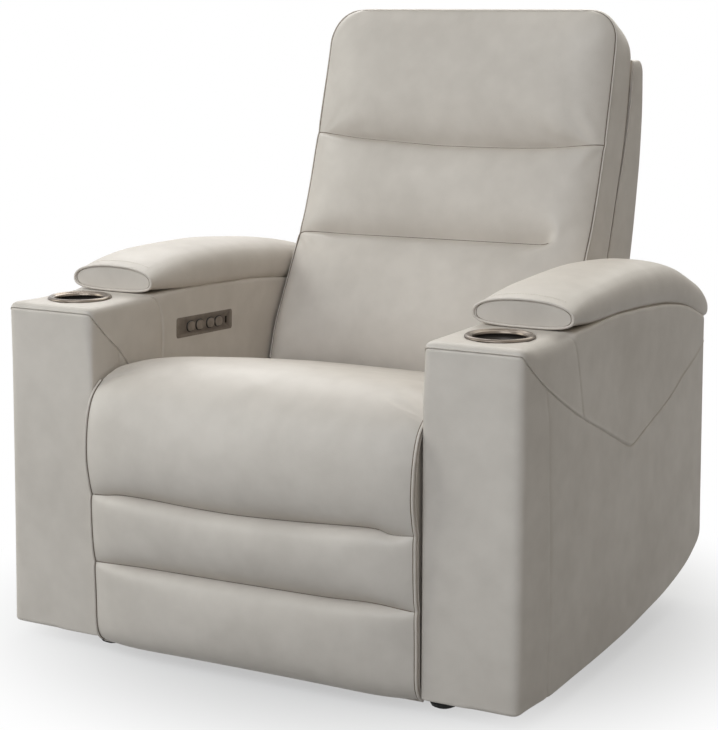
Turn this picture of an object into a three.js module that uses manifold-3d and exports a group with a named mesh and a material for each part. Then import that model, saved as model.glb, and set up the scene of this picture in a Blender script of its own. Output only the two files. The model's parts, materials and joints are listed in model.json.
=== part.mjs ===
// Powered cinema recliner seat: leather-covered arms with cup holders, a chaise
// footrest, a reclining back with a tilting headrest, and the steel mechanism under it.
//
// Millimetres, +X to the sitter's left, +Y to the rear, +Z up. Depths are written from
// the front faces of the arms, and the finished group is moved so that the origin lies
// on the floor, in the middle of the overall width and depth.

import * as THREE from 'three';
import { mergeVertices } from 'three/addons/utils/BufferGeometryUtils.js';
import Module from 'manifold-3d';

const wasm = await Module();
wasm.setup();

// Overall sizes
const OVERALL_WIDTH = 965;
const OVERALL_HEIGHT = 1080;
const REAR_REACH = 940;
const NOSE_REACH = 28;

// Fits shared by all pieces
const SEAT_GAP = 0.3;
const RUNNING_GAP = 0.5;
const OVERRUN = 5;

// Arms
const ARM_WIDTH = 172;
const ARM_DEPTH = 808;
const ARM_CLEARANCE = 30;
const ARM_FRONT_HEIGHT = 596;
const ARM_REAR_HEIGHT = 527;
const ARM_FLAT_LENGTH = 300;
const ARM_CORNER_RADIUS = 28;
const ARM_TOP_RADIUS = 16;
const ARM_BEND_RADIUS = 40;
const SIDE_PANEL_THICKNESS = 18;
const TOP_PANEL_THICKNESS = 24;
const HEEL_RISE_START = 421;
const HEEL_HEIGHT = 76;
const HEEL_RADIUS = 35;

// Arm pads
const PAD_FRONT = 175;
const PAD_REAR = 832;
const PAD_FACE_HEIGHT = 40;
const PAD_CROWN = 70;

// Cup holders
const CUP_DEPTH_PLACE = 89;
const CUP_RIM_DIAMETER = 110;
const CUP_BORE_DIAMETER = 84;
const CUP_WELL_DEPTH = 72;
const CUP_WALL = 2;
const CUP_RIM_HEIGHT = 4;

// Control plate and its buttons, on the arm at the sitter's right
const PLATE_LENGTH = 182;
const PLATE_HEIGHT = 36.5;
const PLATE_THICKNESS = 2;
const PLATE_CORNER = 5;
const PLATE_DEPTH_PLACE = 343;
const PLATE_HEIGHT_PLACE = 522;
const PLATE_SLOPE_DEGREES = 2.5;
const POD_MARGIN = 5;
const POD_DEPTH = 13;
const BUTTON_LENGTH = 24;
const BUTTON_HEIGHT = 17;
const BUTTON_PROUD = 1.8;
const BUTTON_TRAVEL = 1.5;
const BUTTON_DEPTH = 8;
const USB_WIDTH = 5.4;
const USB_HEIGHT = 13;
const USB_DEPTH = 9;

// Seat cushion
const SEAT_REAR = 528;
const SEAT_SIDE_GAP = 5;
const FOOTREST_SIDE_GAP = 3;
const SEAT_EDGE_HEIGHT = 493;
const SEAT_TIP_HEIGHT = 376;
const SEAT_CROWN = 27;
const DRAW_IN = 4;

// Footrest hinge centre, board and pad
const HINGE_DEPTH = 0;
const HINGE_HEIGHT = 440;
const HINGE_SEAT_RADIUS = 62;
const HINGE_PAD_RADIUS = 63.5;
const FOOTREST_BOTTOM = 28;
const FOOTREST_CORNER = 36;
const FOOTREST_CROWN = 10;
const CHANNEL_DEPTH = 11;
const UPPER_CHANNEL_HEIGHT = 283;
const LOWER_CHANNEL_HEIGHT = 165;
const BOARD_FRONT = 28;
const BOARD_THICKNESS = 15;
const BOARD_SIDE_MARGIN = 22.5;
const BOARD_TOP = 372;
const BOARD_BOTTOM = 48;

// Seat frame
const RAIL_TOP = 390;
const FRONT_RAIL_DEPTH = 48;
const FRONT_RAIL_THICKNESS = 18;
const FRONT_RAIL_HEIGHT = 28;
const REAR_RAIL_DEPTH = 526;
const REAR_RAIL_THICKNESS = 20;
const REAR_RAIL_HEIGHT = 75;
const SPRING_WIRE = 4;
const SPRING_COUNT = 5;
const SPRING_WAVES = 4;
const SPRING_SWING = 22;
const SPRING_MARGIN = 10.7;

// Mechanism plates, in planes side by side
const MECHANISM_INSET = 66.5;
const PLATE_GAUGE = 5;
const PLANE_GAP = 2;
const LINK_GAUGE = 4;
const LINK_WIDTH = 24;
const PIN_DIAMETER = 10;
const GLIDE_TRAVEL = 80;
const GLIDE_STUD_DIAMETER = 20;
const GLIDE_HEIGHT = 270;
const FRONT_GLIDE_DEPTH = 330;
const REAR_GLIDE_DEPTH = 520;
const GLIDE_WEB = 14;
const BASE_PLATE_TOP = 296;

// Footrest links: pivot of the rear link on the seat plate, pin on the footrest
// bracket, and the place of the front link along the coupler
const REAR_LINK_DEPTH = 170;
const REAR_LINK_HEIGHT = 340;
const BRACKET_PIN_DEPTH = 60;
const BRACKET_PIN_HEIGHT = 200;
const TORQUE_TUBE_DIAMETER = 20;
const BRACKET_HEIGHT = 90;
const BRACKET_FLANGE = 30;

// Base
const BASE_RAIL_WIDTH = 30;
const BASE_RAIL_HEIGHT = 40;
const BASE_RAIL_BOTTOM = 25;
const BASE_RAIL_FRONT = 52;
const BASE_RAIL_REAR = 690;
const CROSS_TUBE_DIAMETER = 30;
const CROSS_TUBE_HEIGHT = 110;
const FRONT_TUBE_DEPTH = 300;
const REAR_TUBE_DEPTH = 560;
const TUBE_FLANGE_DIAMETER = 56;
const TUBE_FLANGE_THICKNESS = 4;
const LIGHTENING_HOLE_DIAMETER = 44;
const RAIL_FOOT_DIAMETER = 36;
const FRONT_FOOT_DEPTH = 74;
const REAR_FOOT_DEPTH = 664;
const GLIDE_FOOT_DIAMETER = 48;
const GLIDE_FOOT_INSET = 11.5;
const GLIDE_FOOT_DEPTH = 60;
const GLIDE_FOOT_DOME = 10;

// Back
const BACK_PIVOT_DEPTH = 640;
const BACK_PIVOT_HEIGHT = 380;
const BACK_PIN_DIAMETER = 16;
const PIVOT_BOSS_RADIUS = 20;
const BACK_SIDE_GAP = 13.5;
const BACK_TOP_TAPER = 7;
const BACK_CROWN = 30;
const BACK_CHANNEL_DEPTH = 12;
const BACK_CHANNEL_HALF_WIDTH = 19;
const BACK_SIDE_THICKNESS = 18;
const BACK_PANEL_THICKNESS = 16;
const BACK_EDGE_BOTTOM = 416;
const BACK_EDGE_FRONT = 548;
const BACK_EDGE_REACH = 254;
const BACK_REAR_FRONT = 643;
const BACK_REAR_REACH = 262;
const BACK_REAR_BOTTOM = 404;
const SHELL_FOOT_DEPTH = 795;
const SHELL_TOP_DROP = 93;
const SHELL_BOTTOM = 310;
const UPRIGHT_WIDTH = 30;
const UPRIGHT_TOP_DROP = 27;
const SHELF_DROP = 229;
const BACK_RAIL_THICKNESS = 18;
const SHELF_REAR_GAP = 15;

// Headrest
const HEAD_CUSHION_HEIGHT = 251;
const HEAD_PIVOT_INSET = 24;
const HEAD_GAP = 12;
const HEAD_GAP_FLARE = 11;
const HEAD_BOTTOM_EASE = 6;
const HEAD_TOP_CORNER = 48;
const BAIL_WIRE = 10;
const HEAD_BOARD_THICKNESS = 8;
const HEAD_BOARD_MARGIN = 42;
const HEAD_LUG_WIDTH = 12;
const HEAD_LUG_MARGIN = 55;
const HEAD_LUG_DIAMETER = 14;

// Drives
const GEARBOX_LENGTH = 74;
const GEARBOX_WIDTH = 40;
const GEARBOX_HEIGHT = 60;
const GEARBOX_CORNER = 14;
const MOTOR_DIAMETER = 46;
const MOTOR_LENGTH = 62;
const MOTOR_CAP = 6;
const DRIVE_RAIL_WIDTH = 24;
const DRIVE_RAIL_HEIGHT = 18;
const DRIVE_RAIL_GROOVE = 3;
const RECLINE_DRIVE_PLACE = -70;
const FOOTREST_DRIVE_PLACE = 60;
const FOOTREST_DRIVE_HEIGHT = 300;
const FOOTREST_DRIVE_FRONT = 290;
const SLIDER_LENGTH = 40;
const SLIDER_WALL = 5;
const RECLINE_LUG_THICKNESS = 8;
const POWER_BOX_LENGTH = 120;
const POWER_BOX_DEPTH = 62;
const POWER_BOX_HEIGHT = 42;
const POWER_BOX_CORNER = 8;
const VENT_WIDTH = 4;
const VENT_DEPTH = 3;
const VENT_COUNT = 7;
const POWER_BOX_PLACE = 120;
const INLET_WIDTH = 22;
const INLET_HEIGHT = 14;
const INLET_DEPTH = 12;
const HEAD_MOTOR_DIAMETER = 44;
const HEAD_ROD_DIAMETER = 12;

// Facet counts
const ROUND = 18;
const WIRE_SIDES = 6;
const FINE_ROUND = 26;
const ARC_STEPS = 8;
const SMALL_ARC_STEPS = 3;
const PAD_COLUMNS = 12;
const PROFILE_STEPS = 12;

// Places worked out from the sizes above
const halfWidth = OVERALL_WIDTH / 2;
const armInner = halfWidth - ARM_WIDTH;
const armMiddle = halfWidth - ARM_WIDTH / 2;
const seatHalf = armInner - SEAT_SIDE_GAP;
const footrestHalf = armInner - FOOTREST_SIDE_GAP;
const centreDepth = (REAR_REACH - NOSE_REACH - FOOTREST_CROWN) / 2;
const basePlatePlane = armInner - MECHANISM_INSET;
const seatPlatePlane = basePlatePlane + PLATE_GAUGE + PLANE_GAP;
const linkPlane = seatPlatePlane + PLATE_GAUGE + PLANE_GAP;
const couplerPlane = linkPlane + LINK_GAUGE + PLANE_GAP;
const bracketPlane = couplerPlane + LINK_GAUGE + PLANE_GAP;
const railReach = seatPlatePlane - SEAT_GAP;
const backHalfWidth = armInner - BACK_SIDE_GAP;
const backTopHalfWidth = backHalfWidth - BACK_TOP_TAPER;
const headBoardHalf = backHalfWidth - HEAD_BOARD_MARGIN;
const backSidePlane = backHalfWidth - BACK_SIDE_THICKNESS;
const uprightPlane = backSidePlane - SEAT_GAP - PLATE_GAUGE;
const cushionUnderside = RAIL_TOP + SPRING_WIRE + 2 * SEAT_GAP;
const behindCushion = SEAT_GAP + RUNNING_GAP;
const headPivotHeight = OVERALL_HEIGHT - HEAD_CUSHION_HEIGHT;
const shelfHeight = headPivotHeight - SHELF_DROP;
const shellTop = OVERALL_HEIGHT - SHELL_TOP_DROP;
const uprightTop = shellTop - UPRIGHT_TOP_DROP;

// Place of the front link along the coupler, and of the torque tube along the rear link
const frontLinkShare = 0.75;
const torqueTubeShare = 0.45;

const hinge = new THREE.Vector2(HINGE_DEPTH, HINGE_HEIGHT);
const bracketPin = new THREE.Vector2(BRACKET_PIN_DEPTH, BRACKET_PIN_HEIGHT);
const rearLinkTop = new THREE.Vector2(REAR_LINK_DEPTH, REAR_LINK_HEIGHT);
const linkReach = bracketPin.clone().sub(hinge);
const rearLinkFoot = rearLinkTop.clone().add(linkReach);
const frontLinkFoot = rearLinkFoot.clone().lerp(bracketPin, 1 - frontLinkShare);
const frontLinkTop = frontLinkFoot.clone().sub(linkReach);
const torqueTubeCentre = rearLinkTop.clone().lerp(rearLinkFoot, torqueTubeShare);
const backPivot = new THREE.Vector2(BACK_PIVOT_DEPTH, BACK_PIVOT_HEIGHT);

// Finishes
const leather = new THREE.MeshStandardMaterial({ color: 0xb9aea5, roughness: 0.55 });
const darkSteel = new THREE.MeshStandardMaterial({ color: 0x2c2c2e, roughness: 0.5, metalness: 0.7 });
const zincSteel = new THREE.MeshStandardMaterial({ color: 0x8d9094, roughness: 0.4, metalness: 0.9 });
const bronze = new THREE.MeshStandardMaterial({ color: 0x4c4139, roughness: 0.35, metalness: 0.8 });
const blackPlastic = new THREE.MeshStandardMaterial({ color: 0x18181a, roughness: 0.6 });
const rubber = new THREE.MeshStandardMaterial({ color: 0x101010, roughness: 0.9 });
const plywood = new THREE.MeshStandardMaterial({ color: 0xb08a5c, roughness: 0.8 });

const part = new THREE.Group();
part.position.y = -centreDepth;

function addMesh(name, geometry, material, parent = part) {
  const mesh = new THREE.Mesh(geometry, material);
  mesh.name = name;
  parent.add(mesh);
  return mesh;
}

// Solids: booleans

function toSolid(geometry) {
  const bare = geometry.clone();
  bare.deleteAttribute('normal');
  bare.deleteAttribute('uv');
  const merged = mergeVertices(bare);
  return new wasm.Manifold(
    new wasm.Mesh({
      numProp: 3,
      vertProperties: new Float32Array(merged.attributes.position.array),
      triVerts: new Uint32Array(merged.index.array),
    }),
  );
}

function toGeometry(solid) {
  const mesh = solid.getMesh();
  const geometry = new THREE.BufferGeometry();
  geometry.setAttribute('position', new THREE.BufferAttribute(mesh.vertProperties, mesh.numProp));
  geometry.setIndex(new THREE.BufferAttribute(mesh.triVerts, 1));
  geometry.computeVertexNormals();
  return geometry;
}

function cut(body, ...tools) {
  return toGeometry(tools.reduce((solid, tool) => solid.subtract(toSolid(tool)), toSolid(body)));
}

function join(body, ...others) {
  return toGeometry(others.reduce((solid, other) => solid.add(toSolid(other)), toSolid(body)));
}

// Solids: simple forms placed by their centre or lowest corner

function block(width, depth, height, x, y, z) {
  return new THREE.BoxGeometry(width, depth, height).translate(x, y, z);
}

// A round bar along X between two places
function barAlongX(radius, xLow, xHigh, y, z, sides = ROUND) {
  return new THREE.CylinderGeometry(radius, radius, xHigh - xLow, sides)
    .rotateZ(Math.PI / 2)
    .translate((xLow + xHigh) / 2, y, z);
}

function shapeOf(points) {
  return new THREE.Shape(points.map(([a, b]) => new THREE.Vector2(a, b)));
}

function roundHole(centre, radius) {
  const hole = new THREE.Path();
  hole.absarc(centre.x, centre.y, radius, 0, 2 * Math.PI, true);
  return hole;
}

// A slot with round ends along the first axis
function slotShape(start, end, height, radius) {
  const shape = new THREE.Shape();
  shape.absarc(end, height, radius, -Math.PI / 2, Math.PI / 2, false);
  shape.absarc(start, height, radius, Math.PI / 2, 1.5 * Math.PI, false);
  shape.closePath();
  return shape;
}

// An outline drawn in depth and height, made a plate between two places on X
function plateAlongX(shape, xLow, xHigh, curveSegments = ARC_STEPS) {
  const toYZ = new THREE.Matrix4().makeBasis(
    new THREE.Vector3(0, 1, 0),
    new THREE.Vector3(0, 0, 1),
    new THREE.Vector3(1, 0, 0),
  );
  return new THREE.ExtrudeGeometry(shape, { depth: xHigh - xLow, bevelEnabled: false, curveSegments })
    .applyMatrix4(toYZ)
    .translate(xLow, 0, 0);
}

// A flat bar with round ends between two pivots, as an outline
function linkShape(from, to, width) {
  const shape = new THREE.Shape();
  const heading = Math.atan2(to.y - from.y, to.x - from.x);
  shape.absarc(to.x, to.y, width / 2, heading - Math.PI / 2, heading + Math.PI / 2, false);
  shape.absarc(from.x, from.y, width / 2, heading + Math.PI / 2, heading + 1.5 * Math.PI, false);
  shape.closePath();
  return shape;
}

// Solids: soft and swept forms from rings of points

function loft(rings) {
  const count = rings[0].length;
  const position = [];
  const index = [];
  for (const ring of rings) for (const p of ring) position.push(p.x, p.y, p.z);
  for (let r = 0; r < rings.length - 1; r++) {
    for (let k = 0; k < count; k++) {
      const a = r * count + k;
      const b = r * count + ((k + 1) % count);
      index.push(a, b, b + count, a, b + count, a + count);
    }
  }
  // Each end is closed by a ladder between the two long sides of its ring
  const last = (rings.length - 1) * count;
  for (let k = 0; k < count / 2 - 1; k++) {
    const far = count - 1 - k;
    index.push(k, far, far - 1, k, far - 1, k + 1);
    index.push(last + k, last + far - 1, last + far, last + k, last + k + 1, last + far - 1);
  }
  const geometry = new THREE.BufferGeometry();
  geometry.setAttribute('position', new THREE.Float32BufferAttribute(position, 3));
  geometry.setIndex(enclosedVolume(position, index) < 0 ? turnedRound(index) : index);
  geometry.computeVertexNormals();
  return geometry;
}

function enclosedVolume(position, index) {
  const corner = (i) => new THREE.Vector3().fromArray(position, 3 * i);
  let volume = 0;
  for (let i = 0; i < index.length; i += 3) {
    volume += corner(index[i]).dot(corner(index[i + 1]).cross(corner(index[i + 2])));
  }
  return volume;
}

function turnedRound(index) {
  const turned = [];
  for (let i = 0; i < index.length; i += 3) turned.push(index[i], index[i + 2], index[i + 1]);
  return turned;
}

// A padded panel: stations along it, columns across it, with an outer and an inner skin.
// Both skins are functions of the station and of the place across, from -1 to 1.
function paddedPanel(stations, columns, outer, inner) {
  const across = Array.from({ length: columns + 1 }, (_, j) => (2 * j) / columns - 1);
  return loft(
    stations.map((v) => [
      ...across.map((u) => outer(v, u)),
      ...across.toReversed().map((u) => inner(v, u)),
    ]),
  );
}

function evenStations(count) {
  return Array.from({ length: count + 1 }, (_, i) => i / count);
}

// A smooth line in depth and height through points given as shares of a box
function profileLine(shares, depthStart, depthEnd, heightStart, heightEnd) {
  return new THREE.SplineCurve(
    shares.map(
      ([a, b]) =>
        new THREE.Vector2(
          THREE.MathUtils.lerp(depthStart, depthEnd, a),
          THREE.MathUtils.lerp(heightStart, heightEnd, b),
        ),
    ),
  );
}

// A point on a profile, moved out along its normal. A positive side is to the left of
// the line's heading.
function offsetPoint(curve, t, distance, x) {
  const p = curve.getPointAt(t);
  const heading = curve.getTangentAt(t);
  return new THREE.Vector3(x, p.x - heading.y * distance, p.y + heading.x * distance);
}

// How full a pad is across its width: 1 in the middle, 0 at both edges
function fullness(u, power = 2.5) {
  return 1 - Math.abs(u) ** power;
}

// How far a channel pulls the surface in, at a distance along from its line
function channelPull(distance, halfWidthOfChannel) {
  return Math.exp(-((distance / halfWidthOfChannel) ** 2));
}

// The second value of a table at a place along its first value
function valueAlong(table, along) {
  const next = Math.max(1, table.findIndex(([a]) => a >= along));
  const [a0, b0] = table[next - 1];
  const [a1, b1] = table[next];
  return b0 + ((b1 - b0) * (along - a0)) / (a1 - a0);
}

// Arms

// Height of the arm's top face along its depth: level at the cup holder, falling behind it
const armFallShares = [[0, 0], [0.27, 0.08], [0.55, 0.22], [0.72, 0.42], [0.86, 0.66], [1, 1]];

function armTopAt(depth) {
  if (depth <= ARM_FLAT_LENGTH) return ARM_FRONT_HEIGHT;
  const along = (depth - ARM_FLAT_LENGTH) / (ARM_DEPTH - ARM_FLAT_LENGTH);
  return THREE.MathUtils.lerp(ARM_FRONT_HEIGHT, ARM_REAR_HEIGHT, valueAlong(armFallShares, along));
}

function panelTopAt(depth) {
  return armTopAt(depth) - TOP_PANEL_THICKNESS - SEAT_GAP;
}

const bendStart = ARM_DEPTH - ARM_BEND_RADIUS;
const bendCentreHeight = armTopAt(bendStart) - ARM_BEND_RADIUS;
const armStations = armFallShares
  .map(([a]) => THREE.MathUtils.lerp(ARM_FLAT_LENGTH, ARM_DEPTH, a))
  .filter((depth) => depth < bendStart);
const bendLine = evenStations(5).map((t) => [
  bendStart + ARM_BEND_RADIUS * Math.sin((t * Math.PI) / 2),
  bendCentreHeight + ARM_BEND_RADIUS * Math.cos((t * Math.PI) / 2),
]);
const panelFront = ARM_CORNER_RADIUS + SEAT_GAP;
const panelRear = ARM_DEPTH - TOP_PANEL_THICKNESS - SEAT_GAP;
const heelTop = ARM_CLEARANCE + HEEL_HEIGHT;

function armSideShape() {
  const shape = new THREE.Shape();
  shape.moveTo(panelFront, panelTopAt(panelFront));
  shape.lineTo(panelFront, ARM_CLEARANCE);
  shape.lineTo(HEEL_RISE_START, ARM_CLEARANCE);
  shape.quadraticCurveTo(
    (HEEL_RISE_START + panelRear) / 2,
    ARM_CLEARANCE,
    panelRear - HEEL_RADIUS,
    heelTop,
  );
  shape.quadraticCurveTo(panelRear, heelTop + HEEL_RADIUS / 2, panelRear, heelTop + 2 * HEEL_RADIUS);
  const innerBend = ARM_BEND_RADIUS - TOP_PANEL_THICKNESS - SEAT_GAP;
  shape.absarc(bendStart, bendCentreHeight, innerBend, 0, Math.PI / 2, false);
  for (const depth of armStations.toReversed()) shape.lineTo(depth, panelTopAt(depth));
  return shape;
}

// The front panel wraps both front corners of the arm
function armFrontPanel() {
  const shape = new THREE.Shape();
  shape.moveTo(armInner, ARM_CORNER_RADIUS);
  shape.absarc(
    armInner + ARM_CORNER_RADIUS,
    ARM_CORNER_RADIUS,
    ARM_CORNER_RADIUS,
    Math.PI,
    1.5 * Math.PI,
    false,
  );
  shape.absarc(
    halfWidth - ARM_CORNER_RADIUS,
    ARM_CORNER_RADIUS,
    ARM_CORNER_RADIUS,
    1.5 * Math.PI,
    2 * Math.PI,
    false,
  );
  shape.closePath();
  const height = panelTopAt(0) - ARM_CLEARANCE;
  return new THREE.ExtrudeGeometry(shape, { depth: height, bevelEnabled: false, curveSegments: ARC_STEPS })
    .translate(0, 0, ARM_CLEARANCE);
}

// One upholstered strip runs over the top of the arm and down its rear
function armTopPanel() {
  const path = [];
  for (const t of evenStations(4)) {
    const depth = ARM_CORNER_RADIUS * (1 - Math.cos((t * Math.PI) / 2));
    const drop = roundedInset(depth, ARM_TOP_RADIUS);
    path.push({ y: depth, z: armTopAt(depth) - drop, ny: 0, nz: 1, drop });
  }
  for (const depth of armStations) path.push({ y: depth, z: armTopAt(depth), ny: 0, nz: 1, drop: 0 });
  for (const t of evenStations(5)) {
    const turn = (t * Math.PI) / 2;
    path.push({
      y: bendStart + ARM_BEND_RADIUS * Math.sin(turn),
      z: bendCentreHeight + ARM_BEND_RADIUS * Math.cos(turn),
      ny: Math.sin(turn),
      nz: Math.cos(turn),
      drop: 0,
    });
  }
  path.push({ y: ARM_DEPTH, z: heelTop + HEEL_RADIUS, ny: 1, nz: 0, drop: 0 });
  return loft(path.map((place) => stripRing(place)));
}

// How far a rounded corner stands back from its square corner, at a distance in from the end
function roundedInset(distance, radius) {
  return radius - Math.sqrt(radius ** 2 - Math.max(0, radius - distance) ** 2);
}

// How far the rounding of the strip's long edges reaches into its thickness
const edgeDepthShare = 0.66;

// A cross-section of the strip: rounded long edges outside, flat inside
function stripRing({ y, z, ny, nz, drop }) {
  const reach = ARM_WIDTH / 2 - roundedInset(y, ARM_CORNER_RADIUS);
  const edgeDepth = (TOP_PANEL_THICKNESS - drop) * edgeDepthShare;
  const corner = evenStations(SMALL_ARC_STEPS).map((t) => (t * Math.PI) / 2);
  const left = corner.map((a) => [
    -reach + ARM_TOP_RADIUS * (1 - Math.cos(a)),
    edgeDepth * (Math.sin(a) - 1),
  ]);
  const right = left.toReversed().map(([x, n]) => [-x, n]);
  const top = [...left, ...right];
  const under = top.toReversed().map(([x]) => [x, drop - TOP_PANEL_THICKNESS]);
  return [...top, ...under].map(([x, n]) => new THREE.Vector3(armMiddle + x, y + ny * n, z + nz * n));
}

function cupHoleTool() {
  const radius = CUP_BORE_DIAMETER / 2 + CUP_WALL + SEAT_GAP;
  return new THREE.CylinderGeometry(radius, radius, 2 * TOP_PANEL_THICKNESS + OVERRUN, FINE_ROUND)
    .rotateX(Math.PI / 2)
    .translate(armMiddle, CUP_DEPTH_PLACE, ARM_FRONT_HEIGHT - TOP_PANEL_THICKNESS / 2);
}

// Padded rest on the rear two thirds of each arm, higher in the middle, rounded over its rear end
const padTopShares = [
  [0, 0], [0.012, 0.45], [0.03, 0.72], [0.08, 0.86], [0.19, 0.93], [0.35, 0.96], [0.5, 0.95],
  [0.64, 0.93], [0.76, 0.9], [0.86, 0.86], [0.93, 0.72], [0.975, 0.5], [1, 0.22],
];

// Height of the surface that the pad lies on
function padSeatAt(depth) {
  const level = armTopAt(Math.min(depth, ARM_DEPTH));
  if (depth <= bendStart || depth > ARM_DEPTH) return level;
  return Math.max(level, valueAlong(bendLine, depth));
}

function armPad() {
  const depths = padTopShares.map(([along]) => THREE.MathUtils.lerp(PAD_FRONT, PAD_REAR, along));
  const kinks = armStations.filter((depth) => depth > PAD_FRONT);
  const bends = bendLine.map(([depth]) => depth);
  const rings = [...depths, ...kinks, ...bends].sort((a, b) => a - b).map((depth) => {
    const riseShare = valueAlong(padTopShares, (depth - PAD_FRONT) / (PAD_REAR - PAD_FRONT));
    const bottom = padSeatAt(depth) + RUNNING_GAP;
    const height = PAD_FACE_HEIGHT + (PAD_CROWN - PAD_FACE_HEIGHT) * riseShare;
    return padRing(depth, bottom, depth === PAD_REAR ? height / 2 : height);
  });
  return loft(rings);
}

// Height of the widest line of the pad, and how square its sides, crown and underside are:
// a power of 1 is an ellipse, and a smaller one is squarer
const padWidestShare = 0.42;
const padPowerShares = { side: 0.55, crown: 0.8, underside: 0.45 };

function padRing(depth, bottom, height) {
  const widest = bottom + height * padWidestShare;
  const reach = ARM_WIDTH / 2;
  const angles = Array.from({ length: ARC_STEPS }, (_, j) => Math.PI * (1 - (j + 0.5) / ARC_STEPS));
  const rounded = (a, power) => Math.sign(a) * Math.abs(a) ** power;
  const top = angles.map(
    (a) =>
      new THREE.Vector3(
        armMiddle + reach * rounded(Math.cos(a), padPowerShares.side),
        depth,
        widest + (bottom + height - widest) * rounded(Math.sin(a), padPowerShares.crown),
      ),
  );
  const under = angles.toReversed().map(
    (a) =>
      new THREE.Vector3(
        armMiddle + reach * rounded(Math.cos(a), padPowerShares.side),
        depth,
        widest - (widest - bottom) * rounded(Math.sin(a), padPowerShares.underside),
      ),
  );
  return [...top, ...under];
}

function cupHolder() {
  const bore = CUP_BORE_DIAMETER / 2;
  const rim = CUP_RIM_DIAMETER / 2;
  const floor = CUP_RIM_HEIGHT - CUP_WELL_DEPTH;
  const profile = [
    [0, floor - CUP_WALL],
    [bore + CUP_WALL, floor - CUP_WALL],
    [bore + CUP_WALL, 0],
    [rim, 0],
    [rim, CUP_RIM_HEIGHT / 3],
    [rim - CUP_RIM_HEIGHT, CUP_RIM_HEIGHT],
    [bore + CUP_RIM_HEIGHT, CUP_RIM_HEIGHT],
    [bore, 0],
    [bore - CUP_WALL, floor],
    [0, floor],
  ].map(([r, z]) => new THREE.Vector2(r, z));
  return new THREE.LatheGeometry(profile, FINE_ROUND)
    .rotateX(Math.PI / 2)
    .translate(armMiddle, CUP_DEPTH_PLACE, ARM_FRONT_HEIGHT + SEAT_GAP);
}

// Control plate: a bevelled face plate with a pod behind it, four button wells and a socket

// Places of the buttons and of the socket along the plate, from its middle
const buttonShares = [-0.255, -0.095, 0.095, 0.245];
const socketShare = 0.385;

function placeOnPlate(geometry) {
  return geometry
    .rotateX(THREE.MathUtils.degToRad(-PLATE_SLOPE_DEGREES))
    .translate(-armInner, PLATE_DEPTH_PLACE, PLATE_HEIGHT_PLACE);
}

function roundedShape(length, height, radius) {
  const shape = new THREE.Shape();
  const a = length / 2 - radius;
  const b = height / 2 - radius;
  shape.absarc(a, b, radius, 0, Math.PI / 2, false);
  shape.absarc(-a, b, radius, Math.PI / 2, Math.PI, false);
  shape.absarc(-a, -b, radius, Math.PI, 1.5 * Math.PI, false);
  shape.absarc(a, -b, radius, 1.5 * Math.PI, 2 * Math.PI, false);
  shape.closePath();
  return shape;
}

function podTool(margin) {
  const length = PLATE_LENGTH - 2 * POD_MARGIN + 2 * margin;
  const height = PLATE_HEIGHT - 2 * POD_MARGIN + 2 * margin;
  const reach = margin > 0 ? SIDE_PANEL_THICKNESS + OVERRUN : POD_DEPTH;
  return plateAlongX(
    roundedShape(length, height, PLATE_CORNER),
    -reach,
    margin > 0 ? OVERRUN : SEAT_GAP,
    SMALL_ARC_STEPS,
  );
}

function wellTool(share) {
  const well = roundedShape(
    BUTTON_LENGTH + 2 * SEAT_GAP,
    BUTTON_HEIGHT + 2 * SEAT_GAP,
    BUTTON_HEIGHT / 2 + SEAT_GAP,
  );
  const floor = PLATE_THICKNESS + BUTTON_PROUD - BUTTON_DEPTH - BUTTON_TRAVEL - SEAT_GAP;
  return plateAlongX(well, floor, PLATE_THICKNESS + OVERRUN, SMALL_ARC_STEPS)
    .translate(0, share * PLATE_LENGTH, 0);
}

function controlPlate() {
  const face = plateAlongX(
    roundedShape(PLATE_LENGTH, PLATE_HEIGHT, PLATE_CORNER),
    SEAT_GAP,
    PLATE_THICKNESS,
    SMALL_ARC_STEPS,
  );
  const socket = plateAlongX(
    roundedShape(USB_WIDTH, USB_HEIGHT, USB_WIDTH / 4),
    PLATE_THICKNESS - USB_DEPTH,
    PLATE_THICKNESS + OVERRUN,
    1,
  ).translate(0, socketShare * PLATE_LENGTH, 0);
  const wells = buttonShares.map(wellTool);
  return placeOnPlate(cut(join(face, podTool(0)), ...wells, socket));
}

function button(share) {
  const outline = roundedShape(BUTTON_LENGTH, BUTTON_HEIGHT, BUTTON_HEIGHT / 2);
  const front = PLATE_THICKNESS + BUTTON_PROUD;
  return placeOnPlate(
    plateAlongX(outline, front - BUTTON_DEPTH, front, SMALL_ARC_STEPS).translate(0, share * PLATE_LENGTH, 0),
  );
}

function addArm(side, group, rightHand) {
  const inner = plateAlongX(armSideShape(), armInner, armInner + SIDE_PANEL_THICKNESS);
  const outer = plateAlongX(armSideShape(), halfWidth - SIDE_PANEL_THICKNESS, halfWidth);
  const opening = placeOnPlate(podTool(SEAT_GAP)).scale(-1, 1, 1);
  addMesh(`arm_front_panel_${side}`, armFrontPanel(), leather, group);
  addMesh(`arm_outer_panel_${side}`, outer, leather, group);
  addMesh(
    `arm_inner_panel_${side}`,
    rightHand ? cut(inner, flipped(opening)) : inner,
    leather,
    group,
  );
  addMesh(`arm_top_panel_${side}`, cut(armTopPanel(), cupHoleTool()), leather, group);
  addMesh(`arm_pad_${side}`, armPad(), leather, group);
  addMesh(`cup_holder_${side}`, cupHolder(), bronze, group);
}

// A mirrored geometry with its faces turned out again
function flipped(geometry) {
  const bare = mergeVertices(geometry);
  bare.setIndex(turnedRound(Array.from(bare.index.array)));
  return bare;
}

// Seat cushion: one padded form from the back, over the crown and round the nose
const seatEdgeShares = [
  [1, 0.46], [0.76, 0.65], [0.5, 0.86], [0.27, 1], [0.16, 0.95], [0.09, 0.84], [0.04, 0.62],
  [0.014, 0.36], [0.004, 0.12], [0.004, 0],
];

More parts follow.
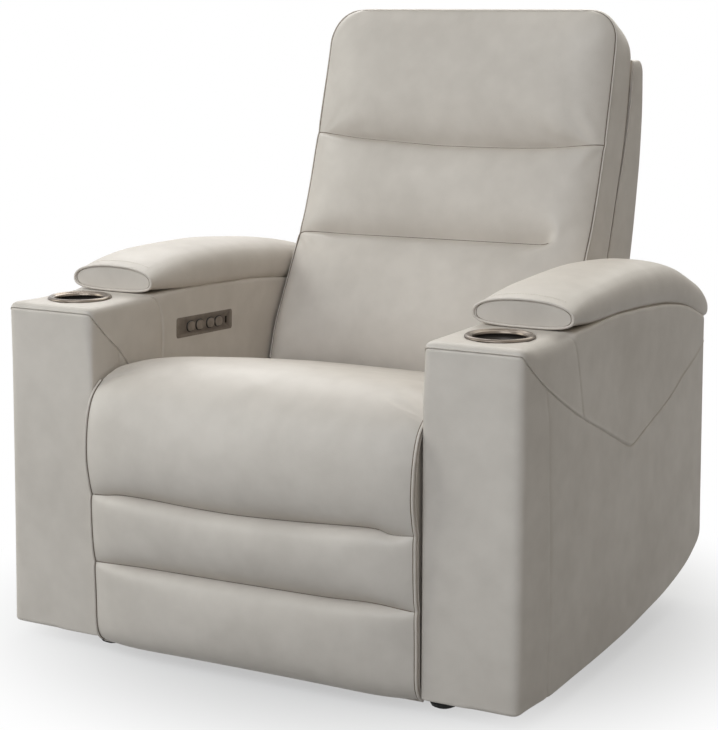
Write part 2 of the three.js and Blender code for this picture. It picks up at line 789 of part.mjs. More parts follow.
// How full the crown is along the seat, from the back to the tip of the nose
const seatFullnessShares = [
  [0, 0.55], [0.12, 0.73], [0.25, 0.88], [0.38, 0.98], [0.5, 0.97], [0.62, 0.85], [0.75, 0.6],
  [0.88, 0.47], [1, 0.35],
];
// Where the underside leaves the springs and turns down towards the nose
const seatTuckShare = 0.72;

function seatCushion() {
  const edge = profileLine(seatEdgeShares, -NOSE_REACH, SEAT_REAR, SEAT_TIP_HEIGHT, SEAT_EDGE_HEIGHT);
  const frontOfRail = FRONT_RAIL_DEPTH - RUNNING_GAP * 2;
  const outer = (v, u) =>
    offsetPoint(edge, v, -SEAT_CROWN * valueAlong(seatFullnessShares, v) * fullness(u), u * sideReach(v));
  const inner = (v, u) => {
    const along = Math.min(v / seatTuckShare, 1);
    const depth = THREE.MathUtils.lerp(SEAT_REAR, frontOfRail, along);
    const tuck = Math.max(0, (v - seatTuckShare) / (1 - seatTuckShare));
    return new THREE.Vector3(
      u * sideReach(v),
      THREE.MathUtils.lerp(depth, -NOSE_REACH / 2, tuck),
      THREE.MathUtils.lerp(cushionUnderside, SEAT_TIP_HEIGHT, Math.min(1, 2 * tuck)),
    );
  };
  const sideReach = (v) => seatHalf - DRAW_IN * Math.sin(Math.PI * v);
  const form = paddedPanel(evenStations(2 * PAD_COLUMNS), PAD_COLUMNS, outer, inner);
  const below = block(
    OVERALL_WIDTH,
    FRONT_RAIL_DEPTH + 2 * NOSE_REACH,
    HINGE_HEIGHT,
    0,
    (FRONT_RAIL_DEPTH - 2 * NOSE_REACH) / 2 - RUNNING_GAP,
    HINGE_HEIGHT / 2,
  );
  const nose = barAlongX(HINGE_SEAT_RADIUS, -OVERALL_WIDTH, OVERALL_WIDTH, hinge.x, hinge.y, FINE_ROUND);
  return cut(form, cut(below, nose));
}

// Footrest pad: three sewn rolls, pulled in at two channels, with round lower corners
const footrestEdgeShares = [
  [0, 1], [0.02, 0.85], [0.25, 0.68], [0.3, 0.5], [0.45, 0.33], [0.5, 0.15], [0.6, 0],
];
// Places of the cross-sections, closer at the channels and at the lower corners
const footrestStationShares = [
  0, 0.1, 0.2, 0.26, 0.29, 0.315, 0.335, 0.355, 0.38, 0.42, 0.48, 0.54, 0.585, 0.61, 0.635, 0.655,
  0.68, 0.72, 0.78, 0.85, 0.91, 0.95, 0.98, 1,
];
// How much of its crown the pad has at its upper end, and how fast the rest follows
const footrestFullnessShare = 0.3;

function footrestPad() {
  const top = HINGE_HEIGHT - HINGE_PAD_RADIUS / 2;
  const edge = profileLine(footrestEdgeShares, -NOSE_REACH, 0, FOOTREST_BOTTOM, top);
  const innerDepth = BOARD_FRONT - SEAT_GAP;
  const widthAt = (z) => {
    const intoCorner = Math.max(0, FOOTREST_BOTTOM + FOOTREST_CORNER - z);
    const arc = FOOTREST_CORNER - Math.sqrt(Math.max(0, FOOTREST_CORNER ** 2 - intoCorner ** 2));
    return footrestHalf - arc;
  };
  const pull = (z) =>
    channelPull(z - UPPER_CHANNEL_HEIGHT, CHANNEL_DEPTH) + channelPull(z - LOWER_CHANNEL_HEIGHT, CHANNEL_DEPTH);
  const outer = (v, u) => {
    const p = edge.getPointAt(v);
    const swell = FOOTREST_CROWN * fullness(u, 4) * Math.sqrt(Math.sin(Math.PI * Math.min(1, footrestFullnessShare + v)));
    const dent = CHANNEL_DEPTH * pull(p.y) * fullness(u, 8);
    return new THREE.Vector3(u * widthAt(p.y), p.x - swell + dent, p.y);
  };
  const inner = (v, u) => {
    const p = edge.getPointAt(v);
    return new THREE.Vector3(u * widthAt(p.y), innerDepth, p.y);
  };
  const form = paddedPanel(footrestStationShares, PAD_COLUMNS, outer, inner);
  const room = barAlongX(HINGE_PAD_RADIUS, -OVERALL_WIDTH, OVERALL_WIDTH, hinge.x, hinge.y, FINE_ROUND);
  return cut(form, room);
}

// Back: shared profiles of the front edge and of the surface behind the cushions
const backEdgeShares = [
  [0, 0], [0.098, 0.113], [0.237, 0.208], [0.439, 0.349], [0.576, 0.449], [0.756, 0.622],
  [0.862, 0.752], [0.945, 0.865], [0.98, 0.94], [0.995, 0.983], [1.03, 1],
];
const backRearShares = [
  [0, 0], [0.153, 0.085], [0.345, 0.222], [0.504, 0.349], [0.668, 0.516], [0.79, 0.64],
  [0.928, 0.883], [1, 1],
];
const shellShares = [
  [0, 0], [0.24, 0.17], [0.5, 0.33], [0.71, 0.48], [0.86, 0.62], [0.965, 0.75], [1, 0.87], [0.97, 1],
];
// How full the cushions are at their ends, and how steeply they fill up from there
const cushionEndShares = { end: 0.35, fromFoot: 2.4, fromHead: 5, fromGap: 3.2, toTop: 2.5 };
// Places of the cross-sections, closer at the channel and at the ends
const backStationShares = [
  0, 0.06, 0.13, 0.22, 0.32, 0.42, 0.48, 0.52, 0.545, 0.565, 0.585, 0.61, 0.65, 0.7, 0.78, 0.85,
  0.91, 0.95, 0.98, 1,
];
const headStationShares = [0, 0.04, 0.1, 0.2, 0.33, 0.48, 0.62, 0.75, 0.85, 0.92, 0.97, 1];

const backEdge = profileLine(
  backEdgeShares,
  BACK_EDGE_FRONT,
  BACK_EDGE_FRONT + BACK_EDGE_REACH,
  BACK_EDGE_BOTTOM,
  OVERALL_HEIGHT,
);
const backRear = profileLine(
  backRearShares,
  BACK_REAR_FRONT,
  BACK_REAR_FRONT + BACK_REAR_REACH,
  BACK_REAR_BOTTOM,
  OVERALL_HEIGHT - HEAD_GAP,
);
const shellLine = profileLine(shellShares, SHELL_FOOT_DEPTH, REAR_REACH, SHELL_BOTTOM, shellTop);

// Place along a rising profile at a height, found by halving
function stationAtHeight(curve, height) {
  let low = 0;
  let high = 1;
  for (let i = 0; i < 40; i++) {
    const middle = (low + high) / 2;
    if (curve.getPointAt(middle).y < height) low = middle;
    else high = middle;
  }
  return (low + high) / 2;
}

function depthAtHeight(curve, height) {
  return curve.getPointAt(stationAtHeight(curve, height)).x;
}

// The lower channel lies this far up from the foot of the back to the headrest hinge
const lowerChannelShare = 0.59;
const lowerChannelHeight = THREE.MathUtils.lerp(BACK_EDGE_BOTTOM, headPivotHeight, lowerChannelShare);
const headPivotDepth = depthAtHeight(backEdge, headPivotHeight) + HEAD_PIVOT_INSET;

function backWidthAt(z) {
  const along = (z - BACK_EDGE_BOTTOM) / (OVERALL_HEIGHT - BACK_EDGE_BOTTOM);
  return THREE.MathUtils.lerp(backHalfWidth, backTopHalfWidth, along);
}

function backCushion() {
  const top = headPivotHeight - HEAD_GAP / 2;
  const edgeEnd = stationAtHeight(backEdge, top);
  const rearEnd = stationAtHeight(backRear, top - HEAD_GAP_FLARE);
  const outer = (v, u) => {
    const t = v * edgeEnd;
    const z = backEdge.getPointAt(t).y;
    const dent = BACK_CHANNEL_DEPTH * channelPull(z - lowerChannelHeight, BACK_CHANNEL_HALF_WIDTH);
    const { end, fromFoot, fromHead } = cushionEndShares;
    const ends = Math.min(1, end + fromFoot * v, end + fromHead * (1 - v));
    return offsetPoint(backEdge, t, (BACK_CROWN * ends - dent) * fullness(u, 3), u * reachAt(v, z));
  };
  const inner = (v, u) => {
    const p = backRear.getPointAt(v * rearEnd);
    return new THREE.Vector3(u * reachAt(v, p.y), p.x - SEAT_GAP, p.y);
  };
  const reachAt = (v, z) => backWidthAt(z) - DRAW_IN * Math.sin(Math.PI * v);
  return paddedPanel(backStationShares, PAD_COLUMNS, outer, inner);
}

function headCushion() {
  const bottom = headPivotHeight + HEAD_GAP / 2 + HEAD_BOTTOM_EASE;
  const edgeStart = stationAtHeight(backEdge, bottom);
  const rearStart = stationAtHeight(backRear, bottom + HEAD_GAP_FLARE / 2);
  const reachAt = (z) => {
    const intoCorner = Math.max(0, z - (OVERALL_HEIGHT - HEAD_TOP_CORNER));
    const arc = HEAD_TOP_CORNER - Math.sqrt(Math.max(0, HEAD_TOP_CORNER ** 2 - intoCorner ** 2));
    return backWidthAt(z) - arc;
  };
  const outer = (v, u) => {
    const t = THREE.MathUtils.lerp(edgeStart, 1, v);
    const z = backEdge.getPointAt(t).y;
    const { end, fromGap, toTop } = cushionEndShares;
    const ends = Math.min(1, end + fromGap * v, toTop * (1 - v));
    return offsetPoint(backEdge, t, BACK_CROWN * ends * fullness(u, 3), u * reachAt(z));
  };
  const inner = (v, u) => {
    const p = backRear.getPointAt(THREE.MathUtils.lerp(rearStart, 1, v));
    return new THREE.Vector3(u * reachAt(p.y), p.x - SEAT_GAP, p.y);
  };
  return paddedPanel(headStationShares, PAD_COLUMNS, outer, inner);
}

// Upholstered side of the back, between the cushions and the rear panel
function backSide() {
  const shape = new THREE.Shape();
  const frontTop = shellTop - BACK_PANEL_THICKNESS - SEAT_GAP;
  shape.moveTo(BACK_REAR_FRONT + SEAT_GAP, SHELL_BOTTOM);
  for (let i = 0; i <= PROFILE_STEPS; i++) {
    const z = THREE.MathUtils.lerp(BACK_REAR_BOTTOM, frontTop, i / PROFILE_STEPS);
    shape.lineTo(depthAtHeight(backRear, z) + behindCushion, z);
  }
  for (let i = PROFILE_STEPS; i >= 0; i--) {
    const z = THREE.MathUtils.lerp(SHELL_BOTTOM, frontTop, i / PROFILE_STEPS);
    shape.lineTo(depthAtHeight(shellLine, z) - BACK_PANEL_THICKNESS - RUNNING_GAP, z);
  }
  return plateAlongX(shape, backSidePlane, backHalfWidth);
}

// Rear cover and top edge of the back in one upholstered strip
function backRearPanel() {
  const shape = new THREE.Shape();
  const frontTop = depthAtHeight(backRear, shellTop) + RUNNING_GAP;
  shape.moveTo(depthAtHeight(shellLine, SHELL_BOTTOM), SHELL_BOTTOM);
  for (let i = 1; i < PROFILE_STEPS; i++) {
    const p = shellLine.getPointAt(i / PROFILE_STEPS);
    shape.lineTo(p.x, p.y);
  }
  shape.quadraticCurveTo(
    depthAtHeight(shellLine, shellTop),
    shellTop,
    depthAtHeight(shellLine, shellTop) - BACK_PANEL_THICKNESS,
    shellTop,
  );
  shape.lineTo(frontTop, shellTop);
  shape.lineTo(frontTop, shellTop - BACK_PANEL_THICKNESS);
  for (let i = PROFILE_STEPS; i >= 0; i--) {
    const z = THREE.MathUtils.lerp(SHELL_BOTTOM, shellTop - BACK_PANEL_THICKNESS, i / PROFILE_STEPS);
    shape.lineTo(depthAtHeight(shellLine, z) - BACK_PANEL_THICKNESS, z);
  }
  return plateAlongX(shape, -backHalfWidth, backHalfWidth);
}

// Steel upright inside each side of the back, with the recline pin at its foot
function backUpright() {
  const shape = new THREE.Shape();
  const boss = PIVOT_BOSS_RADIUS;
  shape.moveTo(backPivot.x + boss, backPivot.y);
  shape.absarc(backPivot.x, backPivot.y, boss, 0, 0.5 * Math.PI, true);
  shape.lineTo(backPivot.x + boss / 2, backPivot.y + boss);
  for (let i = 1; i <= PROFILE_STEPS; i++) {
    const z = THREE.MathUtils.lerp(BACK_REAR_BOTTOM, uprightTop, i / PROFILE_STEPS);
    shape.lineTo(depthAtHeight(backRear, z) + behindCushion, z);
  }
  for (let i = PROFILE_STEPS; i >= 1; i--) {
    const z = THREE.MathUtils.lerp(BACK_REAR_BOTTOM, uprightTop, i / PROFILE_STEPS);
    shape.lineTo(depthAtHeight(backRear, z) + UPRIGHT_WIDTH, z);
  }
  shape.closePath();
  const plate = plateAlongX(shape, uprightPlane, uprightPlane + PLATE_GAUGE);
  const pin = barAlongX(
    BACK_PIN_DIAMETER / 2,
    seatPlatePlane - PLANE_GAP / 2,
    uprightPlane + PLATE_GAUGE / 2,
    backPivot.x,
    backPivot.y,
  );
  return join(plate, pin);
}

// Hinge wire of the headrest: straight across, with both ends bent back to the uprights
function headrestBail() {
  const side = uprightPlane - SEAT_GAP - BAIL_WIRE / 2;
  const foot = depthAtHeight(backRear, headPivotHeight) + UPRIGHT_WIDTH / 2;
  const bar = barAlongX(BAIL_WIRE / 2, -side - BAIL_WIRE / 2, side + BAIL_WIRE / 2, headPivotDepth, headPivotHeight);
  const leg = (x) =>
    new THREE.CylinderGeometry(BAIL_WIRE / 2, BAIL_WIRE / 2, foot - headPivotDepth, ROUND)
      .translate(x, (foot + headPivotDepth) / 2, headPivotHeight);
  return join(bar, leg(side), leg(-side));
}

// Board behind the head cushion, with two lugs that turn on the hinge wire
function headrestFrame() {
  const shape = new THREE.Shape();
  const bottom = headPivotHeight + HEAD_GAP / 2 + HEAD_GAP_FLARE;
  const top = shellTop - 2 * BACK_PANEL_THICKNESS;
  for (let i = 0; i <= ARC_STEPS; i++) {
    const z = THREE.MathUtils.lerp(bottom, top, i / ARC_STEPS);
    const y = depthAtHeight(backRear, z) + RUNNING_GAP;
    if (i === 0) shape.moveTo(y, z);
    else shape.lineTo(y, z);
  }
  for (let i = ARC_STEPS; i >= 0; i--) {
    const z = THREE.MathUtils.lerp(bottom, top, i / ARC_STEPS);
    shape.lineTo(depthAtHeight(backRear, z) + RUNNING_GAP + HEAD_BOARD_THICKNESS, z);
  }
  const board = plateAlongX(shape, -headBoardHalf, headBoardHalf);
  const heel = new THREE.Vector2(
    depthAtHeight(backRear, bottom) + RUNNING_GAP + HEAD_BOARD_THICKNESS / 2,
    headPivotHeight,
  );
  const pivot = new THREE.Vector2(headPivotDepth, headPivotHeight);
  const lugs = [-1, 1].map((sign) => {
    const middle = sign * (headBoardHalf - HEAD_LUG_MARGIN);
    const bar = linkShape(pivot, heel, HEAD_LUG_DIAMETER);
    const riser = block(
      HEAD_LUG_WIDTH,
      HEAD_BOARD_THICKNESS,
      bottom - headPivotHeight + HEAD_BOARD_THICKNESS / 4,
      middle,
      heel.x,
      (bottom + headPivotHeight) / 2 + HEAD_BOARD_THICKNESS / 8,
    );
    return join(plateAlongX(bar, middle - HEAD_LUG_WIDTH / 2, middle + HEAD_LUG_WIDTH / 2), riser);
  });
  const eye = barAlongX(
    BAIL_WIRE / 2 + SEAT_GAP,
    -headBoardHalf,
    headBoardHalf,
    pivot.x,
    pivot.y,
  );
  return cut(join(board, ...lugs), eye);
}

// Shelf between the uprights, which carries the headrest drive
const shelfFront = depthAtHeight(backRear, shelfHeight) + UPRIGHT_WIDTH / 2;
const shelfRear = depthAtHeight(shellLine, shelfHeight) - BACK_PANEL_THICKNESS - SHELF_REAR_GAP;

function backCrossRail() {
  const reach = uprightPlane - SEAT_GAP;
  return block(
    2 * reach,
    shelfRear - shelfFront,
    BACK_RAIL_THICKNESS,
    0,
    (shelfFront + shelfRear) / 2,
    shelfHeight,
  );
}

// A round bar in the middle plane between two places in depth and height
function barBetween(radius, from, to) {
  const length = from.distanceTo(to);
  return new THREE.CylinderGeometry(radius, radius, length, ROUND)
    .rotateX(Math.atan2(to.y - from.y, to.x - from.x))
    .translate(0, (from.x + to.x) / 2, (from.y + to.y) / 2);
}

// Headrest drive: motor tube standing on the shelf, its rod up to the headrest board
const motorTubeShare = 0.55;
const trimShare = 0.1;

function headrestDrive() {
  const shelfTop = shelfHeight + BACK_RAIL_THICKNESS / 2 + SEAT_GAP;
  const boardFoot = headPivotHeight + HEAD_GAP / 2 + HEAD_GAP_FLARE - SEAT_GAP;
  const foot = new THREE.Vector2(shelfRear - HEAD_MOTOR_DIAMETER / 2, shelfTop);
  const head = new THREE.Vector2(depthAtHeight(backRear, boardFoot) + HEAD_BOARD_THICKNESS / 2, boardFoot);
  const shoulder = foot.clone().lerp(head, motorTubeShare);
  const below = foot.clone().lerp(head, -trimShare);
  const above = foot.clone().lerp(head, 1 + trimShare);
  const drive = join(
    barBetween(HEAD_MOTOR_DIAMETER / 2, below, shoulder),
    barBetween(HEAD_ROD_DIAMETER / 2, foot, above),
  );
  const band = block(
    OVERALL_WIDTH,
    2 * REAR_REACH,
    boardFoot - shelfTop,
    0,
    REAR_REACH / 2,
    (boardFoot + shelfTop) / 2,
  );
  return toGeometry(toSolid(drive).intersect(toSolid(band)));
}

// Mechanism: footrest board, brackets and links

function footrestBoard() {
  return block(
    2 * (footrestHalf - BOARD_SIDE_MARGIN),
    BOARD_THICKNESS,
    BOARD_TOP - BOARD_BOTTOM,
    0,
    BOARD_FRONT + BOARD_THICKNESS / 2,
    (BOARD_TOP + BOARD_BOTTOM) / 2,
  );
}

function footrestBracket() {
  const rear = BOARD_FRONT + BOARD_THICKNESS + SEAT_GAP;
  const shape = new THREE.Shape();
  shape.moveTo(rear, bracketPin.y + BRACKET_HEIGHT / 2);
  shape.lineTo(rear, bracketPin.y - BRACKET_HEIGHT / 2);
  shape.lineTo(bracketPin.x, bracketPin.y - LINK_WIDTH / 2);
  shape.absarc(bracketPin.x, bracketPin.y, LINK_WIDTH / 2, -Math.PI / 2, Math.PI / 2, false);
  shape.closePath();
  const ear = plateAlongX(shape, bracketPlane, bracketPlane + LINK_GAUGE);
  const flange = block(
    BRACKET_FLANGE,
    LINK_GAUGE,
    BRACKET_HEIGHT,
    bracketPlane + LINK_GAUGE - BRACKET_FLANGE / 2,
    rear + LINK_GAUGE / 2,
    bracketPin.y,
  );
  const pin = barAlongX(
    PIN_DIAMETER / 2 - RUNNING_GAP,
    couplerPlane - PLANE_GAP / 2,
    bracketPlane + LINK_GAUGE / 2,
    bracketPin.x,
    bracketPin.y,
  );
  return join(ear, flange, pin);
}

// A link hangs from a pin in the seat plate and carries a pin for the coupler at its foot
function footrestLink(top, foot) {
  const bar = plateAlongX(linkShape(top, foot, LINK_WIDTH), linkPlane, linkPlane + LINK_GAUGE);
  const inwardPin = barAlongX(
    PIN_DIAMETER / 2,
    seatPlatePlane - PLANE_GAP / 2,
    linkPlane + LINK_GAUGE / 2,
    top.x,
    top.y,
  );
  const outwardPin = barAlongX(
    PIN_DIAMETER / 2,
    linkPlane + LINK_GAUGE / 2,
    couplerPlane + LINK_GAUGE + PLANE_GAP / 2,
    foot.x,
    foot.y,
  );
  return join(bar, inwardPin, outwardPin);
}

function coupler() {
  const shape = linkShape(rearLinkFoot, bracketPin, LINK_WIDTH);
  for (const pin of [rearLinkFoot, frontLinkFoot, bracketPin]) {
    shape.holes.push(roundHole(pin, PIN_DIAMETER / 2 + SEAT_GAP));
  }
  return plateAlongX(shape, couplerPlane, couplerPlane + LINK_GAUGE);
}

// Seat plate: carries the rails of the seat, the link pivots and the back pivot, and
// glides on the studs of the base plate in two slots
function seatPlate() {
  const shape = new THREE.Shape();
  const slotRadius = GLIDE_STUD_DIAMETER / 2 + SEAT_GAP;
  const low = GLIDE_HEIGHT - slotRadius - GLIDE_WEB;
  const slotEnd = REAR_GLIDE_DEPTH + GLIDE_TRAVEL;
  const nose = FRONT_RAIL_DEPTH - RUNNING_GAP;
  const boss = PIVOT_BOSS_RADIUS;
  shape.moveTo(nose, RAIL_TOP);
  shape.lineTo(nose, RAIL_TOP - FRONT_RAIL_HEIGHT);
  shape.lineTo(frontLinkTop.x - boss, frontLinkTop.y - boss / 2);
  shape.lineTo(rearLinkTop.x, rearLinkTop.y - boss);
  shape.lineTo(FRONT_GLIDE_DEPTH - slotRadius - GLIDE_WEB, low);
  shape.lineTo(slotEnd + slotRadius + GLIDE_WEB, low);
  shape.lineTo(slotEnd + slotRadius + GLIDE_WEB, GLIDE_HEIGHT + slotRadius);
  shape.lineTo(backPivot.x + boss, backPivot.y - boss);
  shape.lineTo(backPivot.x + boss, backPivot.y);
  shape.absarc(backPivot.x, backPivot.y, boss, 0, Math.PI / 2, false);
  shape.lineTo(backPivot.x - 2 * boss, RAIL_TOP);
  shape.closePath();
  const planes = [seatPlatePlane - OVERRUN, seatPlatePlane + PLATE_GAUGE + OVERRUN];
  const slots = [FRONT_GLIDE_DEPTH, REAR_GLIDE_DEPTH].map((depth) =>
    plateAlongX(slotShape(depth, depth + GLIDE_TRAVEL, GLIDE_HEIGHT, slotRadius), ...planes),
  );
  const pivots = [
    barAlongX(PIN_DIAMETER / 2 + SEAT_GAP, ...planes, frontLinkTop.x, frontLinkTop.y),
    barAlongX(PIN_DIAMETER / 2 + SEAT_GAP, ...planes, rearLinkTop.x, rearLinkTop.y),
    barAlongX(BACK_PIN_DIAMETER / 2 + SEAT_GAP, ...planes, backPivot.x, backPivot.y),
  ];
  const plate = plateAlongX(shape, seatPlatePlane, seatPlatePlane + PLATE_GAUGE);
  return cut(plate, ...slots, ...pivots);
}

function seatRail(front, thickness, height) {
  return block(2 * railReach, thickness, height, 0, front + thickness / 2, RAIL_TOP - height / 2);
}

// Sinuous springs from rail to rail, tied by two cross wires
const springTieShares = [1 / 3, 2 / 3];

function seatSprings() {
  const height = RAIL_TOP + SEAT_GAP + SPRING_WIRE / 2;
  const start = FRONT_RAIL_DEPTH + FRONT_RAIL_THICKNESS / 2;
  const end = REAR_RAIL_DEPTH + REAR_RAIL_THICKNESS / 2;
  const wire = (middle) => {
    const points = [];
    const bends = 4 * SPRING_WAVES;
    for (let i = 0; i <= bends; i++) {
      const y = THREE.MathUtils.lerp(start, end, i / bends);
      points.push(new THREE.Vector3(middle + SPRING_SWING * Math.sin((i * Math.PI) / 2), y, height));
    }
    const path = new THREE.CatmullRomCurve3(points);
    const section = new THREE.Shape();
    section.absarc(0, 0, SPRING_WIRE / 2, 0, 2 * Math.PI, false);
    return new THREE.ExtrudeGeometry(section, { steps: bends, extrudePath: path, curveSegments: WIRE_SIDES / 2 });
  };
  const reach = railReach - SPRING_MARGIN;
  const middles = Array.from(
    { length: SPRING_COUNT },
    (_, i) => ((2 * i + 1) / SPRING_COUNT - 1) * reach,
  );
  const ties = springTieShares.map((share) =>
    barAlongX(SPRING_WIRE / 2, -reach, reach, THREE.MathUtils.lerp(start, end, share), height, WIRE_SIDES),
  );
  return join(...middles.map(wire), ...ties);
}

// Base: a floor rail with the glide plate standing on it, on each side
function baseSide() {
  const floorRail = block(
    BASE_RAIL_WIDTH,
    BASE_RAIL_REAR - BASE_RAIL_FRONT,
    BASE_RAIL_HEIGHT,
    basePlatePlane + PLATE_GAUGE / 2,
    (BASE_RAIL_REAR + BASE_RAIL_FRONT) / 2,
    BASE_RAIL_BOTTOM + BASE_RAIL_HEIGHT / 2,
  );
  const foot = BASE_RAIL_BOTTOM + BASE_RAIL_HEIGHT / 2;
  const shoulder = CROSS_TUBE_HEIGHT + CROSS_TUBE_DIAMETER;
  const edge = GLIDE_STUD_DIAMETER / 2 + GLIDE_WEB;
  const outline = plateAlongX(
    shapeOf([
      [FRONT_TUBE_DEPTH - 2 * CROSS_TUBE_DIAMETER, foot],
      [REAR_TUBE_DEPTH + 2 * CROSS_TUBE_DIAMETER, foot],
      [Math.max(REAR_TUBE_DEPTH + CROSS_TUBE_DIAMETER, REAR_GLIDE_DEPTH + edge), shoulder],
      [REAR_GLIDE_DEPTH + edge, BASE_PLATE_TOP],
      [FRONT_GLIDE_DEPTH - edge, BASE_PLATE_TOP],
      [Math.min(FRONT_TUBE_DEPTH - CROSS_TUBE_DIAMETER, FRONT_GLIDE_DEPTH - edge), shoulder],
    ]),
    basePlatePlane,
    basePlatePlane + PLATE_GAUGE,
  );
  const through = (diameter, depth, height) =>
    barAlongX(
      diameter / 2,
      basePlatePlane - OVERRUN,
      basePlatePlane + PLATE_GAUGE + OVERRUN,
      depth,
      height,
    );
  const tubeHoles = [FRONT_TUBE_DEPTH, REAR_TUBE_DEPTH].map((depth) =>
    through(CROSS_TUBE_DIAMETER + 2 * RUNNING_GAP, depth, CROSS_TUBE_HEIGHT),
  );
  const pitch = LIGHTENING_HOLE_DIAMETER + GLIDE_WEB;
  const room = REAR_GLIDE_DEPTH - FRONT_GLIDE_DEPTH;
  const count = Math.floor(room / pitch);
  const lighteningHoles = Array.from({ length: count }, (_, i) =>
    through(
      LIGHTENING_HOLE_DIAMETER,
      FRONT_GLIDE_DEPTH + ((i + 0.5) / count) * room,
      (shoulder + GLIDE_HEIGHT - edge) / 2,
    ),
  );
  const plate = cut(outline, ...tubeHoles, ...lighteningHoles);
  const studs = [FRONT_GLIDE_DEPTH, REAR_GLIDE_DEPTH].map((depth) =>
    barAlongX(
      GLIDE_STUD_DIAMETER / 2,
      basePlatePlane + PLATE_GAUGE / 2,
      linkPlane - PLANE_GAP / 2,
      depth,
      GLIDE_HEIGHT,
    ),
  );
  return join(floorRail, plate, ...studs);
}

function crossTube(depth) {
  const reach = armInner - SEAT_GAP;
  const flange = (xLow) =>
    barAlongX(TUBE_FLANGE_DIAMETER / 2, xLow, xLow + TUBE_FLANGE_THICKNESS, depth, CROSS_TUBE_HEIGHT);
  return join(
    barAlongX(CROSS_TUBE_DIAMETER / 2, -reach, reach, depth, CROSS_TUBE_HEIGHT),
    flange(-reach),
    flange(reach - TUBE_FLANGE_THICKNESS),
  );
}

function roundFoot(diameter, height, x, y) {
  return new THREE.CylinderGeometry(diameter / 2, diameter / 2, height, ROUND)
    .rotateX(Math.PI / 2)
    .translate(x, y, height / 2);
}

// Glide under the front of each arm: a domed round foot
function armGlide() {
  const radius = GLIDE_FOOT_DIAMETER / 2;
  const top = ARM_CLEARANCE - SEAT_GAP;
  const profile = [
    [0, 0],
    [radius - GLIDE_FOOT_DOME, 0],
    [radius - GLIDE_FOOT_DOME / 3, GLIDE_FOOT_DOME / 3],
    [radius, GLIDE_FOOT_DOME],
    [radius, top],
    [0, top],
  ].map(([r, z]) => new THREE.Vector2(r, z));
  return new THREE.LatheGeometry(profile, ROUND)
    .rotateX(Math.PI / 2)
    .translate(armInner + GLIDE_FOOT_INSET, GLIDE_FOOT_DEPTH, 0);
}

// Drives: a gear motor with a grooved slide rail, and the block that runs on the rail

// An outline drawn in width and height, made a bar between two places in depth
function barAlongY(shape, yLow, yHigh) {
  return new THREE.ExtrudeGeometry(shape, {
    depth: yHigh - yLow,
    bevelEnabled: false,
    curveSegments: SMALL_ARC_STEPS,
  })
    .rotateX(Math.PI / 2)
    .translate(0, yHigh, 0);
}

function railShape() {
  const half = DRIVE_RAIL_WIDTH / 2;
  const height = DRIVE_RAIL_HEIGHT;
  const depth = DRIVE_RAIL_GROOVE;
  return shapeOf([
    [-half, 0], [half, 0], [half, depth], [half - depth, 2 * depth],
    [half - depth, height - 2 * depth], [half, height - depth], [half, height], [-half, height],
    [-half, height - depth], [depth - half, height - 2 * depth], [depth - half, 2 * depth],
    [-half, depth],
  ]);
}

// A motor can across the gearbox, towards the side given, with a rounded end cap
function motorCan(side) {
  const radius = MOTOR_DIAMETER / 2;
  const end = GEARBOX_WIDTH / 2 + MOTOR_LENGTH;
  const profile = [
    [0, 0],
    [radius, 0],
    [radius, end - MOTOR_CAP],
    [radius - MOTOR_CAP / 3, end - MOTOR_CAP / 3],
    [radius - MOTOR_CAP, end],
    [0, end],
  ].map(([r, x]) => new THREE.Vector2(r, x));
  return new THREE.LatheGeometry(profile, ROUND).rotateZ((-side * Math.PI) / 2);
}

function driveUnit(x, front, rear, bottom, side) {
  const middle = new THREE.Vector3(
    x,
    rear + GEARBOX_LENGTH / 2 - OVERRUN,
    bottom + GEARBOX_HEIGHT / 2 - DRIVE_RAIL_HEIGHT,
  );
  const gearbox = plateAlongX(
    roundedShape(GEARBOX_LENGTH, GEARBOX_HEIGHT, GEARBOX_CORNER),
    -GEARBOX_WIDTH / 2,
    GEARBOX_WIDTH / 2,
    SMALL_ARC_STEPS,
  );
  const rail = barAlongY(railShape(), front, rear + OVERRUN).translate(x, 0, bottom);
  const place = (geometry) => geometry.translate(middle.x, middle.y, middle.z);
  return join(rail, place(gearbox), place(motorCan(side)));
}

// A block open below that rides on the rail
function railSlider(x, y, bottom) {
  const width = DRIVE_RAIL_WIDTH + 2 * (SEAT_GAP + SLIDER_WALL);
  const height = DRIVE_RAIL_HEIGHT + SEAT_GAP + SLIDER_WALL;
  const body = block(width, SLIDER_LENGTH, height, x, y, bottom + height / 2);
  const room = block(
    DRIVE_RAIL_WIDTH + 2 * SEAT_GAP,
    SLIDER_LENGTH + 2 * OVERRUN,
    2 * (DRIVE_RAIL_HEIGHT + SEAT_GAP),
    x,
    y,
    bottom,
  );
  return cut(body, room);
}

